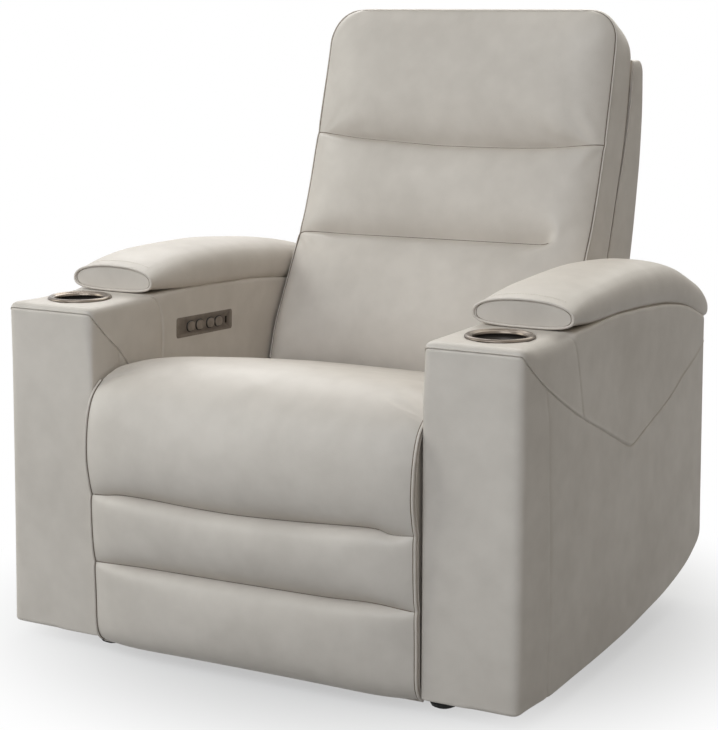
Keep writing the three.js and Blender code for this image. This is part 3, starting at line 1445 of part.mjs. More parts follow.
function addDrives() {
  const tubeTop = CROSS_TUBE_HEIGHT + CROSS_TUBE_DIAMETER / 2 + SEAT_GAP;
  const tubeRear = REAR_TUBE_DEPTH + CROSS_TUBE_DIAMETER / 2;
  const reclineRear = Math.max(tubeRear, REAR_RAIL_DEPTH + REAR_RAIL_THICKNESS) + OVERRUN;
  addMesh(
    'recline_drive',
    driveUnit(RECLINE_DRIVE_PLACE, FRONT_TUBE_DEPTH - CROSS_TUBE_DIAMETER / 2, reclineRear, tubeTop, -1),
    blackPlastic,
  );
  const lugDepth = REAR_RAIL_DEPTH - SLIDER_LENGTH / 2;
  const lugTop = RAIL_TOP - REAR_RAIL_HEIGHT / 2;
  const sliderTop = tubeTop + DRIVE_RAIL_HEIGHT;
  const reach = SLIDER_LENGTH / 2 - SEAT_GAP;
  const lugShape = shapeOf([
    [lugDepth - reach, sliderTop + SLIDER_WALL / 2],
    [lugDepth + reach, sliderTop + SLIDER_WALL / 2],
    [lugDepth + reach, lugTop],
    [lugDepth, lugTop],
  ]);
  lugShape.holes.push(
    roundHole(new THREE.Vector2(lugDepth + reach / 3, (lugTop + sliderTop) / 2), PIN_DIAMETER / 2),
  );
  const lug = plateAlongX(
    lugShape,
    RECLINE_DRIVE_PLACE - RECLINE_LUG_THICKNESS / 2,
    RECLINE_DRIVE_PLACE + RECLINE_LUG_THICKNESS / 2,
  );
  addMesh(
    'recline_slider',
    join(railSlider(RECLINE_DRIVE_PLACE, lugDepth, tubeTop), lug),
    zincSteel,
  );
  const driveRear = REAR_RAIL_DEPTH - SEAT_GAP - GEARBOX_LENGTH + OVERRUN;
  addMesh(
    'footrest_drive',
    driveUnit(FOOTREST_DRIVE_PLACE, FOOTREST_DRIVE_FRONT, driveRear, FOOTREST_DRIVE_HEIGHT, 1),
    blackPlastic,
  );
  addMesh(
    'footrest_slider',
    railSlider(FOOTREST_DRIVE_PLACE, driveRear - SLIDER_LENGTH, FOOTREST_DRIVE_HEIGHT),
    zincSteel,
  );
}

// Power box behind the rear tube: rounded housing, vents in its top, inlet in its rear
function powerBox() {
  const front = REAR_TUBE_DEPTH + CROSS_TUBE_DIAMETER / 2 + SEAT_GAP;
  const middle = front + POWER_BOX_DEPTH / 2;
  const housing = new THREE.ExtrudeGeometry(
    roundedShape(POWER_BOX_LENGTH, POWER_BOX_DEPTH, POWER_BOX_CORNER),
    { depth: POWER_BOX_HEIGHT, bevelEnabled: false, curveSegments: SMALL_ARC_STEPS },
  ).translate(POWER_BOX_PLACE, middle, CROSS_TUBE_HEIGHT - POWER_BOX_HEIGHT / 2);
  const inlet = block(
    INLET_WIDTH,
    2 * INLET_DEPTH,
    INLET_HEIGHT,
    POWER_BOX_PLACE,
    front + POWER_BOX_DEPTH,
    CROSS_TUBE_HEIGHT,
  );
  const vents = Array.from({ length: VENT_COUNT }, (_, i) =>
    block(
      VENT_WIDTH,
      POWER_BOX_DEPTH / 2,
      2 * VENT_DEPTH,
      POWER_BOX_PLACE + ((i + 0.5) / VENT_COUNT - 0.5) * (POWER_BOX_LENGTH - 2 * POWER_BOX_CORNER),
      middle,
      CROSS_TUBE_HEIGHT + POWER_BOX_HEIGHT / 2,
    ),
  );
  return cut(housing, inlet, ...vents);
}

// Assembly

for (const [side, sign] of [['left', 1], ['right', -1]]) {
  const group = new THREE.Group();
  group.scale.x = sign;
  part.add(group);
  addArm(side, group, sign < 0);
  addMesh(`base_side_${side}`, baseSide(), darkSteel, group);
  addMesh(`arm_glide_${side}`, armGlide(), rubber, group);
  const railMiddle = basePlatePlane + PLATE_GAUGE / 2;
  const footHeight = BASE_RAIL_BOTTOM - SEAT_GAP;
  addMesh(
    `rail_foot_front_${side}`,
    roundFoot(RAIL_FOOT_DIAMETER, footHeight, railMiddle, FRONT_FOOT_DEPTH),
    rubber,
    group,
  );
  addMesh(
    `rail_foot_rear_${side}`,
    roundFoot(RAIL_FOOT_DIAMETER, footHeight, railMiddle, REAR_FOOT_DEPTH),
    rubber,
    group,
  );
  addMesh(`seat_plate_${side}`, seatPlate(), darkSteel, group);
  addMesh(`footrest_bracket_${side}`, footrestBracket(), darkSteel, group);
  addMesh(`rear_link_${side}`, footrestLink(rearLinkTop, rearLinkFoot), darkSteel, group);
  addMesh(`front_link_${side}`, footrestLink(frontLinkTop, frontLinkFoot), darkSteel, group);
  addMesh(`coupler_${side}`, coupler(), darkSteel, group);
  addMesh(`back_side_${side}`, backSide(), leather, group);
  addMesh(`back_upright_${side}`, backUpright(), darkSteel, group);
}

addMesh('front_cross_tube', crossTube(FRONT_TUBE_DEPTH), darkSteel);
addMesh('rear_cross_tube', crossTube(REAR_TUBE_DEPTH), darkSteel);
addMesh('control_plate', controlPlate(), bronze);
buttonShares.forEach((share, i) => addMesh(`button_${i + 1}`, button(share), blackPlastic));
addMesh('power_box', powerBox(), blackPlastic);
addDrives();

addMesh(
  'seat_front_rail',
  seatRail(FRONT_RAIL_DEPTH, FRONT_RAIL_THICKNESS, FRONT_RAIL_HEIGHT),
  plywood,
);
addMesh(
  'seat_rear_rail',
  seatRail(REAR_RAIL_DEPTH, REAR_RAIL_THICKNESS, REAR_RAIL_HEIGHT),
  plywood,
);
addMesh('seat_springs', seatSprings(), zincSteel);
addMesh('seat_cushion', seatCushion(), leather);

addMesh('footrest_board', footrestBoard(), plywood);
addMesh('footrest_pad', footrestPad(), leather);
addMesh(
  'footrest_torque_tube',
  barAlongX(
    TORQUE_TUBE_DIAMETER / 2,
    -linkPlane + SEAT_GAP,
    linkPlane - SEAT_GAP,
    torqueTubeCentre.x,
    torqueTubeCentre.y,
  ),
  darkSteel,
);

addMesh('back_rear_panel', backRearPanel(), leather);
addMesh('back_cushion', backCushion(), leather);
addMesh('back_cross_rail', backCrossRail(), darkSteel);
addMesh('headrest_drive', headrestDrive(), blackPlastic);
addMesh('headrest_bail', headrestBail(), zincSteel);
addMesh('headrest_frame', headrestFrame(), darkSteel);
addMesh('headrest_cushion', headCushion(), leather);

export default part;
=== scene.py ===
"""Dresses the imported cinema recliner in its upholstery, seams, trim and finishes.

Every outline below is written in millimetres. Depth is measured back from the front of the arms,
height up from the floor, and side to side from the middle of the seat, with +X on the sitter's left.
"""

from __future__ import annotations

import json
import logging
import math
from collections.abc import Callable, Sequence
from dataclasses import dataclass
from enum import Enum

import bmesh
import bpy
import numpy as np
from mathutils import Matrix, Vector
from mathutils.bvhtree import BVHTree

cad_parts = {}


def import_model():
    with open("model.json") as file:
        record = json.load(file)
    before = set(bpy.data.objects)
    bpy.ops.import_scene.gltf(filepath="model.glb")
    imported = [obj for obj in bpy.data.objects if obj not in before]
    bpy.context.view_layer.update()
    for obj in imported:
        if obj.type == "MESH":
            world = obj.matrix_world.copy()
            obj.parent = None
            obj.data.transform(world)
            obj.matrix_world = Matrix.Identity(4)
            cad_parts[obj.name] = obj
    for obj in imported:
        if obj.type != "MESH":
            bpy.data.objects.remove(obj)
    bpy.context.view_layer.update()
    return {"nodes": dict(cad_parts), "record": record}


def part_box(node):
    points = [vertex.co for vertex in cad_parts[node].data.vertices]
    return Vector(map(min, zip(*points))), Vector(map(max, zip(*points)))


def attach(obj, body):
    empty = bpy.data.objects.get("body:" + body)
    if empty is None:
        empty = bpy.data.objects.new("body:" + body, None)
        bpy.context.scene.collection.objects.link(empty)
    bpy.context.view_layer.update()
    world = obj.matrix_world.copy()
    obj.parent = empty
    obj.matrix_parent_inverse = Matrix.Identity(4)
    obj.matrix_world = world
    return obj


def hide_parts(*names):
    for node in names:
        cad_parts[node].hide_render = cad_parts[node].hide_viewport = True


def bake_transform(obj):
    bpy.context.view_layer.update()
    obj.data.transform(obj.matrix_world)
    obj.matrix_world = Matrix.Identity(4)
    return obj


LOG = logging.getLogger("recliner")
MM = 0.001
NORMAL_REACH = 9.0
ROLL_POWER = 2.6
SEAM_LIFT = 0.2
THREAD_LIFT = 0.3
MERGE_DISTANCE = 0.02

Points = Sequence[tuple[float, ...]]
Triple = tuple[float, float, float]


class Side(Enum):
    """The two sides of the seat, as the sitter has them."""

    LEFT = 1
    RIGHT = -1

    @property
    def word(self) -> str:
        """The side's name as the nodes spell it."""
        return self.name.lower()


class Surface(Enum):
    """The finishes of this seat."""

    LEATHER = "leather_hide"
    WELT = "leather_welt"
    THREAD = "sewing_thread"
    LINING = "dust_lining"
    DARK_STEEL = "painted_steel"
    ZINC = "plated_steel"
    BRONZE = "dark_bronze"
    PLASTIC = "black_moulding"
    RUBBER = "black_rubber"
    PLYWOOD = "birch_plywood"
    WELL = "cup_well_lining"
    # Painted seam shade: dark matte cords laid where sewn grooves and welts cast shade.
    SEAM = "seam_shadow"


# Curves and point lattices


def smooth_function(pairs: Points) -> Callable[[np.ndarray], np.ndarray]:
    """Makes a smooth function through a few given pairs, without overshoot.

    Args:
        pairs: (input, output) pairs with rising inputs.

    Returns:
        A function of an array, level beyond its ends.
    """
    xs, ys = np.array(pairs, float).T
    steps = np.diff(xs)
    slopes = np.diff(ys) / steps
    tangents = np.concatenate([[slopes[0]], np.zeros(len(xs) - 2), [slopes[-1]]])
    for i in range(1, len(xs) - 1):
        if slopes[i - 1] * slopes[i] > 0:
            before, after = 2 * steps[i] + steps[i - 1], steps[i] + 2 * steps[i - 1]
            tangents[i] = (before + after) / (before / slopes[i - 1] + after / slopes[i])

    def read(values: np.ndarray) -> np.ndarray:
        """Reads the function at the given inputs."""
        v = np.clip(values, xs[0], xs[-1])
        i = np.clip(np.searchsorted(xs, v) - 1, 0, len(xs) - 2)
        t = (v - xs[i]) / steps[i]
        return (
            ys[i] * (1 + 2 * t) * (1 - t) ** 2
            + tangents[i] * steps[i] * t * (1 - t) ** 2
            + ys[i + 1] * t * t * (3 - 2 * t)
            + tangents[i + 1] * steps[i] * t * t * (t - 1)
        )

    return read


class Outline:
    """A smooth line through a few given points, read by the distance along it."""

    STEPS = 24

    def __init__(self, points: Points) -> None:
        """Lays the line.

        Args:
            points: the points that the line passes through, in order.
        """
        p = np.array(points, float)
        p = np.vstack([2 * p[0] - p[1], p, 2 * p[-1] - p[-2]])
        t = np.linspace(0, 1, self.STEPS, endpoint=False)[:, None]
        runs = [
            0.5 * (
                2 * b + (c - a) * t + (2 * a - 5 * b + 4 * c - d) * t**2 + (3 * b - a - 3 * c + d) * t**3
            )
            for a, b, c, d in zip(p[:-3], p[1:-2], p[2:-1], p[3:])
        ]
        self.line = np.vstack([*runs, p[-2:-1]])
        gaps = np.linalg.norm(np.diff(self.line, axis=0), axis=1)
        self.travel = np.concatenate([[0], np.cumsum(gaps)])

    @property
    def length(self) -> float:
        """The length of the line."""
        return float(self.travel[-1])

    def at(self, distance: np.ndarray) -> np.ndarray:
        """Points at the given distances from the line's start, with an axis added for the coordinates."""
        d = np.clip(distance, 0, self.length)
        return np.stack([np.interp(d, self.travel, column) for column in self.line.T], -1)

    def normal(self, distance: np.ndarray) -> np.ndarray:
        """Unit normals of a flat line at the given distances, to the left of its travel."""
        along = self.at(distance + NORMAL_REACH) - self.at(distance - NORMAL_REACH)
        along /= np.maximum(np.linalg.norm(along, axis=-1, keepdims=True), 1e-9)
        return np.stack([-along[..., 1], along[..., 0]], -1)

    def distance_at_height(self, height: float, deepest: float = math.inf) -> float:
        """The distance at which the line passes a height, on the part of it in front of a depth."""
        near = self.line[:, 0] < deepest
        line, travel = self.line[near], self.travel[near]
        order = np.argsort(line[:, 1])
        return float(np.interp(height, line[order, 1], travel[order]))


def graded(stops: Sequence[np.ndarray], pitch: float, fine: float) -> tuple[np.ndarray, list[int]]:
    """Spaces rows between stops, closer together near each stop.

    Args:
        stops: the place of each stop, one value for every column or a single one.
        pitch: the wanted distance between rows, on average.
        fine: the distance next to a stop.

    Returns:
        The place of every row by column, and the row number of each stop.
    """
    rows, marks = [stops[0]], [0]
    pinch = 1 - fine / pitch
    for low, high in zip(stops[:-1], stops[1:]):
        count = max(2, round(float(np.mean(high - low)) / pitch))
        for t in np.linspace(0, 1, count + 1)[1:]:
            share = t - pinch * math.sin(2 * math.pi * t) / (2 * math.pi)
            rows.append(low + (high - low) * share)
        marks.append(len(rows) - 1)
    return np.array(rows, float), marks


def crowded(count: int, share: float) -> np.ndarray:
    """Places from -1 to 1, closer together towards both ends as the share nears 1."""
    return np.sin(np.linspace(-1, 1, count + 1) * math.pi / 2 * share) / math.sin(math.pi / 2 * share)


def roll(distance: np.ndarray, width: float, power: float = 2.4) -> np.ndarray:
    """How far a stuffed surface has risen at a distance from its sewn edge, from 0 to 1."""
    return 1 - (1 - np.clip(distance / width, 0, 1)) ** power


def valley(distance: np.ndarray, width: np.ndarray, power: float) -> np.ndarray:
    """How deep a sewn channel still is at a distance from its seam, from 1 to 0."""
    return np.clip(1 - np.abs(distance) / width, 0, 1) ** power


def fade(values: np.ndarray, low: float, high: float) -> np.ndarray:
    """Rises smoothly from 0 at low to 1 at high, or falls where low is the larger."""
    t = np.clip((values - low) / (high - low), 0, 1)
    return t * t * (3 - 2 * t)


def rounding(past: np.ndarray, radius: float) -> np.ndarray:
    """How far a round corner has drawn in, at a distance past its start."""
    past = np.clip(past, 0, radius)
    return radius - np.sqrt(np.maximum(radius**2 - past**2, 0))


@dataclass(frozen=True)
class Channel:
    """A seam sewn across a cushion: a wide valley, and a tight tuck on its upper side."""

    depth: float
    above: float
    below: float
    side_reach: float
    least_depth: float = 1.2
    tuck_depth: float = 9.5
    tuck_width: float = 17.0
    tuck_below_share: float = 0.45
    tuck_reach: float = 120.0
    tuck_least_share: float = 0.2
    roll_power: float = 1.8
    valley_power: float = 2.2
    tuck_power: float = 1.6

    def sink(self, height: np.ndarray, gap: np.ndarray, from_side: np.ndarray, kept: np.ndarray) -> None:
        """Sinks the channel into a cushion's height.

        Args:
            height: how far each point stands out, changed in place.
            gap: each point's distance from the seam, positive above it.
            from_side: each point's distance from the sewn side.
            kept: the share of the channel in each column.
        """
        strength = (self.depth * roll(from_side, self.side_reach, self.roll_power) + self.least_depth) * kept
        height -= strength * valley(gap, np.where(gap > 0, self.above, self.below), self.valley_power)
        tuck_width = self.tuck_width * np.where(gap > 0, 1.0, self.tuck_below_share)
        least = self.tuck_least_share
        risen = least + (1 - least) * roll(from_side, self.tuck_reach)
        height -= self.tuck_depth * risen * kept * valley(gap, tuck_width, self.tuck_power)


class Lattice:
    """A block of points whose outer skin becomes a piece."""

    def __init__(self, points: np.ndarray) -> None:
        """Numbers the skin.

        Args:
            points: an array of rows, columns, layers and three coordinates, in millimetres.
        """
        shape = points.shape[:3]
        self.index = -np.ones(shape, int)
        inside = np.zeros(shape, bool)
        inside[1:-1, 1:-1, 1:-1] = True
        self.index[~inside] = np.arange(int((~inside).sum()))
        self.skin_points = points[~inside]

    def faces(self) -> list[tuple[int, ...]]:
        """The quads of the skin, facing outwards."""
        index = self.index
        sheets = (
            (index[:, :, 0], False), (index[:, :, -1], True), (index[0], False), (index[-1], True),
            (index[:, 0], True), (index[:, -1], False),
        )
        quads = []
        for sheet, turned in sheets:
            a, b, c, d = sheet[:-1, :-1], sheet[:-1, 1:], sheet[1:, 1:], sheet[1:, :-1]
            ring = (a, d, c, b) if turned else (a, b, c, d)
            quads += list(zip(*[x.ravel().tolist() for x in ring]))
        return quads


def grid_faces(rows: int, columns: int, closed: bool = False) -> list[tuple[int, ...]]:
    """The quads between rows of points, each row joined to its own start where it is closed."""
    pairs = [(j, (j + 1) % columns) for j in range(columns if closed else columns - 1)]
    return [
        (i * columns + j, i * columns + k, (i + 1) * columns + k, (i + 1) * columns + j)
        for i in range(rows - 1) for j, k in pairs
    ]


@dataclass
class Place:
    """Turns millimetres from the arms' front into the frame's metres."""

    front: float

    def points(self, raw: np.ndarray) -> np.ndarray:
        """Frame points of an array of (side, depth, height) millimetres."""
        return np.asarray(raw, float) * MM + np.array([0, self.front, 0])

    def point(self, side: float, depth: float, height: float) -> Vector:
        """One frame point from side, depth and height in millimetres."""
        return Vector((side * MM, self.front + depth * MM, height * MM))


def on_side(raw: np.ndarray, side: Side, centre: float) -> np.ndarray:
    """Moves points from an arm's own middle to its place on one side of the seat."""
    moved = np.array(raw, float)
    moved[..., 0] = (moved[..., 0] + centre) * side.value
    return moved


# Meshes


def new_piece(name: str, vertices: np.ndarray, faces: Sequence[tuple[int, ...]]) -> bpy.types.Object:
    """Makes a smooth-shaded mesh object at the origin with its faces outwards.

    Args:
        name: the piece's name.
        vertices: frame points in metres.
        faces: vertex numbers of each face.

    Returns:
        The linked object.
    """
    mesh = bpy.data.meshes.new(name)
    mesh.from_pydata([tuple(v) for v in vertices], [], faces)
    work = bmesh.new()
    work.from_mesh(mesh)
    if work.calc_volume(signed=True) < 0:
        bmesh.ops.reverse_faces(work, faces=work.faces)
    work.to_mesh(mesh)
    work.free()
    mesh.polygons.foreach_set("use_smooth", [True] * len(mesh.polygons))
    return linked(name, mesh)


def linked(name: str, data: bpy.types.ID) -> bpy.types.Object:
    """Makes an object of some data and links it to the scene."""
    made = bpy.data.objects.new(name, data)
    bpy.context.scene.collection.objects.link(made)
    return made


def sharpen(piece: bpy.types.Object, line: Sequence[int]) -> None:
    """Keeps a sewn line, given by its vertex numbers in order, sharp when the piece is subdivided."""
    mesh = piece.data
    marks = mesh.attributes.get("crease_edge") or mesh.attributes.new("crease_edge", "FLOAT", "EDGE")
    wanted = {tuple(sorted((int(a), int(b)))) for a, b in zip(line[:-1], line[1:])}
    for edge in mesh.edges:
        if tuple(sorted(edge.vertices)) in wanted:
            marks.data[edge.index].value = 1.0


def refine(piece: bpy.types.Object) -> None:
    """Adds one level of subdivision surface, the same in view and render."""
    soft = piece.modifiers.new("soft_form", "SUBSURF")
    soft.levels = soft.render_levels = 1


def bake_modifiers(piece: bpy.types.Object) -> None:
    """Applies a piece's modifiers, so that what follows reads its final mesh."""
    graph = bpy.context.evaluated_depsgraph_get()
    mesh = bpy.data.meshes.new_from_object(piece.evaluated_get(graph))
    piece.modifiers.clear()
    old = piece.data
    piece.data = mesh
    bpy.data.meshes.remove(old)


def laid_on(piece: bpy.types.Object, path: np.ndarray, lift: float) -> np.ndarray:
    """Lays a path on the final surface of a piece.

    Args:
        piece: the object, with its modifiers applied.
        path: frame points near its surface.
        lift: how far above the surface the path runs, in millimetres.

    Returns:
        The frame points on the surface.
    """
    mesh = piece.data
    tree = BVHTree.FromPolygons([v.co for v in mesh.vertices], [p.vertices for p in mesh.polygons])
    hits = [tree.find_nearest(Vector(p)) for p in path]
    return np.array([tuple(spot + normal * lift * MM) for spot, normal, _, _ in hits])


@dataclass(frozen=True)
class Swelling:
    """Air pressure that fills a sewn cover, run as a short cloth simulation."""

    cap: float = 10.0
    kept: float = 0.8
    pressure: float = 4.0
    frames: int = 20
    quality: int = 4
    mass: float = 0.3
    tension: float = 15.0
    bending: float = 0.6

    def run(self, piece: bpy.types.Object, pinned: Sequence[int]) -> None:
        """Swells a closed mesh and keeps the result in its vertices.

        Args:
            piece: the object, at the origin.
            pinned: vertex numbers that the seams hold still.
        """
        rest = np.empty(len(piece.data.vertices) * 3)
        piece.data.vertices.foreach_get("co", rest)
        rest = rest.reshape(-1, 3)
        held = piece.vertex_groups.new(name="held")
        held.add(pinned, 1.0, "REPLACE")
        cloth = piece.modifiers.new("swell", "CLOTH")
        cloth.point_cache.frame_start, cloth.point_cache.frame_end = 1, self.frames
        rules = cloth.settings
        rules.quality = self.quality
        rules.mass = self.mass
        rules.tension_stiffness = rules.compression_stiffness = self.tension
        rules.shear_stiffness = self.tension / 3
        rules.bending_stiffness = self.bending
        rules.vertex_group_mass = "held"
        rules.use_pressure = True
        rules.uniform_pressure_force = self.pressure
        rules.effector_weights.gravity = 0
        cloth.collision_settings.use_collision = False
        scene = bpy.context.scene
        for number in range(1, self.frames + 1):
            scene.frame_set(number)
        graph = bpy.context.evaluated_depsgraph_get()
        swollen = np.empty_like(rest).ravel()
        piece.evaluated_get(graph).data.vertices.foreach_get("co", swollen)
        moved = (swollen.reshape(-1, 3) - rest) * self.kept
        reach = np.linalg.norm(moved, axis=1, keepdims=True)
        moved *= np.minimum(1, self.cap * MM / np.maximum(reach, 1e-9))
        piece.modifiers.remove(cloth)
        piece.vertex_groups.clear()
        scene.frame_set(1)
        piece.data.vertices.foreach_set("co", (rest + moved).ravel())
        piece.data.update()
        LOG.info("%s swelled by up to %.1f mm", piece.name, float(reach.max()) / MM)


# Node trees

NodeTable = dict[str, tuple]
SOCKET_KINDS = {float: "NodeSocketFloat", int: "NodeSocketInt", 3: "NodeSocketVector", 4: "NodeSocketColor"}
NOISE = "ShaderNodeTexNoise"
RANGE = "ShaderNodeMapRange"
MIX_COLOURS = ("ShaderNodeMix", {"data_type": "RGBA"})


def maths(operation: str, first: float = 0.5, second: float = 0.5) -> tuple:
    """A Math node's row for a table of nodes, with the values of the sockets that nothing links."""
    return "ShaderNodeMath", {"operation": operation}, {0: first, 1: second}


SEEN_NODES = {
    "rays": ("ShaderNodeLightPath",), "clear": maths("MAXIMUM"), "seen": maths("MAXIMUM"),
    "mix": ("ShaderNodeMixShader",),
}
SEEN_LINKS = (
    "rays.Is Camera Ray > clear.0", "rays.Is Transmission Ray > clear.1", "clear.0 > seen.0",
    "rays.Is Glossy Ray > seen.1",
)


def wire(tree: bpy.types.NodeTree, nodes: NodeTable, links: Sequence[str]) -> None:
    """Adds nodes to a tree and links them.

    Args:
        tree: a shader, world or geometry tree.
        nodes: by name, each node's type, its properties and its sockets' values.
        links: lines that say "node.output > node.input", where a socket is a name or a number.
    """
    made = {node.name: node for node in tree.nodes}
    for name, (kind, *rest) in nodes.items():
        node = made[name] = tree.nodes.new(kind)
        settings, values = (*rest, {}, {})[:2]
        for label, value in settings.items():
            setattr(node, label, value)
        for label, value in values.items():
            node.inputs[label].default_value = value
    for line in links:
        (source, output), (target, entry) = (end.rsplit(".", 1) for end in line.split(" > "))
        start = made[source].outputs[int(output) if output.isdigit() else output]
        tree.links.new(start, made[target].inputs[int(entry) if entry.isdigit() else entry])


def new_group(
    name: str, kind: str, inputs: dict[str, object], outputs: dict[str, object], nodes: NodeTable,
    links: Sequence[str],
) -> bpy.types.NodeTree:
    """Makes a node group with named sockets.

    Args:
        name: the group's name.
        kind: the type of tree.
        inputs: by name, a starting value, or the name of a socket type that has none.
        outputs: the same for the outputs.
        nodes: the table of nodes for wire.
        links: the links for wire.

    Returns:
        The group.
    """
    tree = bpy.data.node_groups.new(name, kind)
    for way, sockets in (("INPUT", inputs), ("OUTPUT", outputs)):
        for label, start in sockets.items():
            typed = isinstance(start, str)
            kind_key = len(start) if isinstance(start, tuple) else type(start)
            socket_type = start if typed else SOCKET_KINDS[kind_key]
            socket = tree.interface.new_socket(label, in_out=way, socket_type=socket_type)
            if not typed:
                socket.default_value = start
    tree.nodes.new("NodeGroupInput")
    tree.nodes.new("NodeGroupOutput")
    wire(tree, nodes, links)
    return tree


class ShaderGroups:
    """The shader groups that several finishes share."""

    VECTOR = {"Vector": "NodeSocketVector"}
    NUMBER = "NodeSocketFloat"

    def __init__(self) -> None:
        """Builds each group once."""
        self.grain = self._grain()
        self.drift = self._drift()
        self.brushed = self._brushed()
        self.wear = self._wear()

    def _group(
        self, name: str, inputs: dict, outputs: dict, nodes: NodeTable, links: Sequence[str],
    ) -> bpy.types.NodeTree:
        """Makes a shader group that reads a vector."""
        return new_group(name, "ShaderNodeTree", {**self.VECTOR, **inputs}, outputs, nodes, links)

    def _grain(self) -> bpy.types.NodeTree:
        """Pebbled hide: small cells, soft creases between them and long faint wrinkles."""
        return self._group(
            "hide_grain", {"Pebble Scale": 620.0, "Crease Scale": 70.0, "Crease Share": 0.35},
            {"Height": self.NUMBER, "Pebbles": self.NUMBER},
            {
                "cells": (
                    "ShaderNodeTexVoronoi", {"feature": "SMOOTH_F1"}, {"Smoothness": 0.6, "Randomness": 0.95},
                ),
                "creases": (NOISE, {}, {"Detail": 5.0, "Roughness": 0.62, "Distortion": 0.8}),
                "pebbles": maths("SUBTRACT", 1.0), "folds": maths("MULTIPLY"), "sum": maths("ADD"),
            },
            (
                "Group Input.Vector > cells.Vector", "Group Input.Pebble Scale > cells.Scale",
                "Group Input.Vector > creases.Vector", "Group Input.Crease Scale > creases.Scale",
                "cells.Distance > pebbles.1", "creases.0 > folds.0", "Group Input.Crease Share > folds.1",
                "pebbles.0 > sum.0", "folds.0 > sum.1", "sum.0 > Group Output.Height",
                "pebbles.0 > Group Output.Pebbles",
            ),
        )

    def _drift(self) -> bpy.types.NodeTree:
        """Slow change between two tones, with a finer one inside it."""
        return self._group(
            "tone_drift",
            {"Scale": 7.0, "Fine Scale": 60.0, "Light": (0.6, 0.6, 0.6, 1.0), "Dark": (0.4, 0.4, 0.4, 1.0)},
            {"Color": "NodeSocketColor", "Mask": self.NUMBER},
            {
                "slow": (NOISE, {}, {"Detail": 3.0}), "quick": (NOISE, {}, {"Detail": 4.0}),
                "fine": maths("MULTIPLY", second=0.35), "broad": maths("MULTIPLY", second=0.65),
                "sum": maths("ADD"), "spread": (RANGE, {}, {"From Min": 0.36, "From Max": 0.64}),
                "mix": MIX_COLOURS,
            },
            (
                "Group Input.Vector > slow.Vector", "Group Input.Scale > slow.Scale",
                "Group Input.Vector > quick.Vector", "Group Input.Fine Scale > quick.Scale",
                "quick.0 > fine.0", "slow.0 > broad.0", "broad.0 > sum.0", "fine.0 > sum.1",
                "sum.0 > spread.Value", "spread.Result > mix.Factor", "Group Input.Light > mix.6",
                "Group Input.Dark > mix.7", "mix.2 > Group Output.Color", "spread.Result > Group Output.Mask",
            ),
        )

    def _brushed(self) -> bpy.types.NodeTree:
        """Fine scratches along one direction."""
        return self._group(
            "brushed_lines", {"Scale": 240.0, "Stretch": (1.0, 0.04, 1.0)}, {"Height": self.NUMBER},
            {
                "pull": ("ShaderNodeVectorMath", {"operation": "MULTIPLY"}),
                "lines": (NOISE, {}, {"Detail": 6.0}),
            },
            (
                "Group Input.Vector > pull.0", "Group Input.Stretch > pull.1", "pull.0 > lines.Vector",
                "Group Input.Scale > lines.Scale", "lines.0 > Group Output.Height",
            ),
        )

    def _wear(self) -> bpy.types.NodeTree:
        """A mask of rubbed edges, broken up so that it isn't an even line."""
        return self._group(
            "edge_rub", {"Scale": 90.0, "Start": 0.54}, {"Mask": self.NUMBER},
            {
                "shape": ("ShaderNodeNewGeometry",), "noise": (NOISE, {}, {"Detail": 4.0}),
                "ramp": (RANGE, {}, {"From Max": 0.62}), "broken": maths("MULTIPLY"),
            },
            (
                "Group Input.Vector > noise.Vector", "Group Input.Scale > noise.Scale",
                "Group Input.Start > ramp.From Min", "shape.Pointiness > ramp.Value",
                "ramp.Result > broken.0", "noise.0 > broken.1", "broken.0 > Group Output.Mask",
            ),
        )


def linear(red: int, green: int, blue: int) -> tuple[float, ...]:
    """Turns screen colour numbers from 0 to 255 into linear light."""
    shares = [value / 255 for value in (red, green, blue)]
    return *(c / 12.92 if c <= 0.04045 else ((c + 0.055) / 1.055) ** 2.4 for c in shares), 1.0


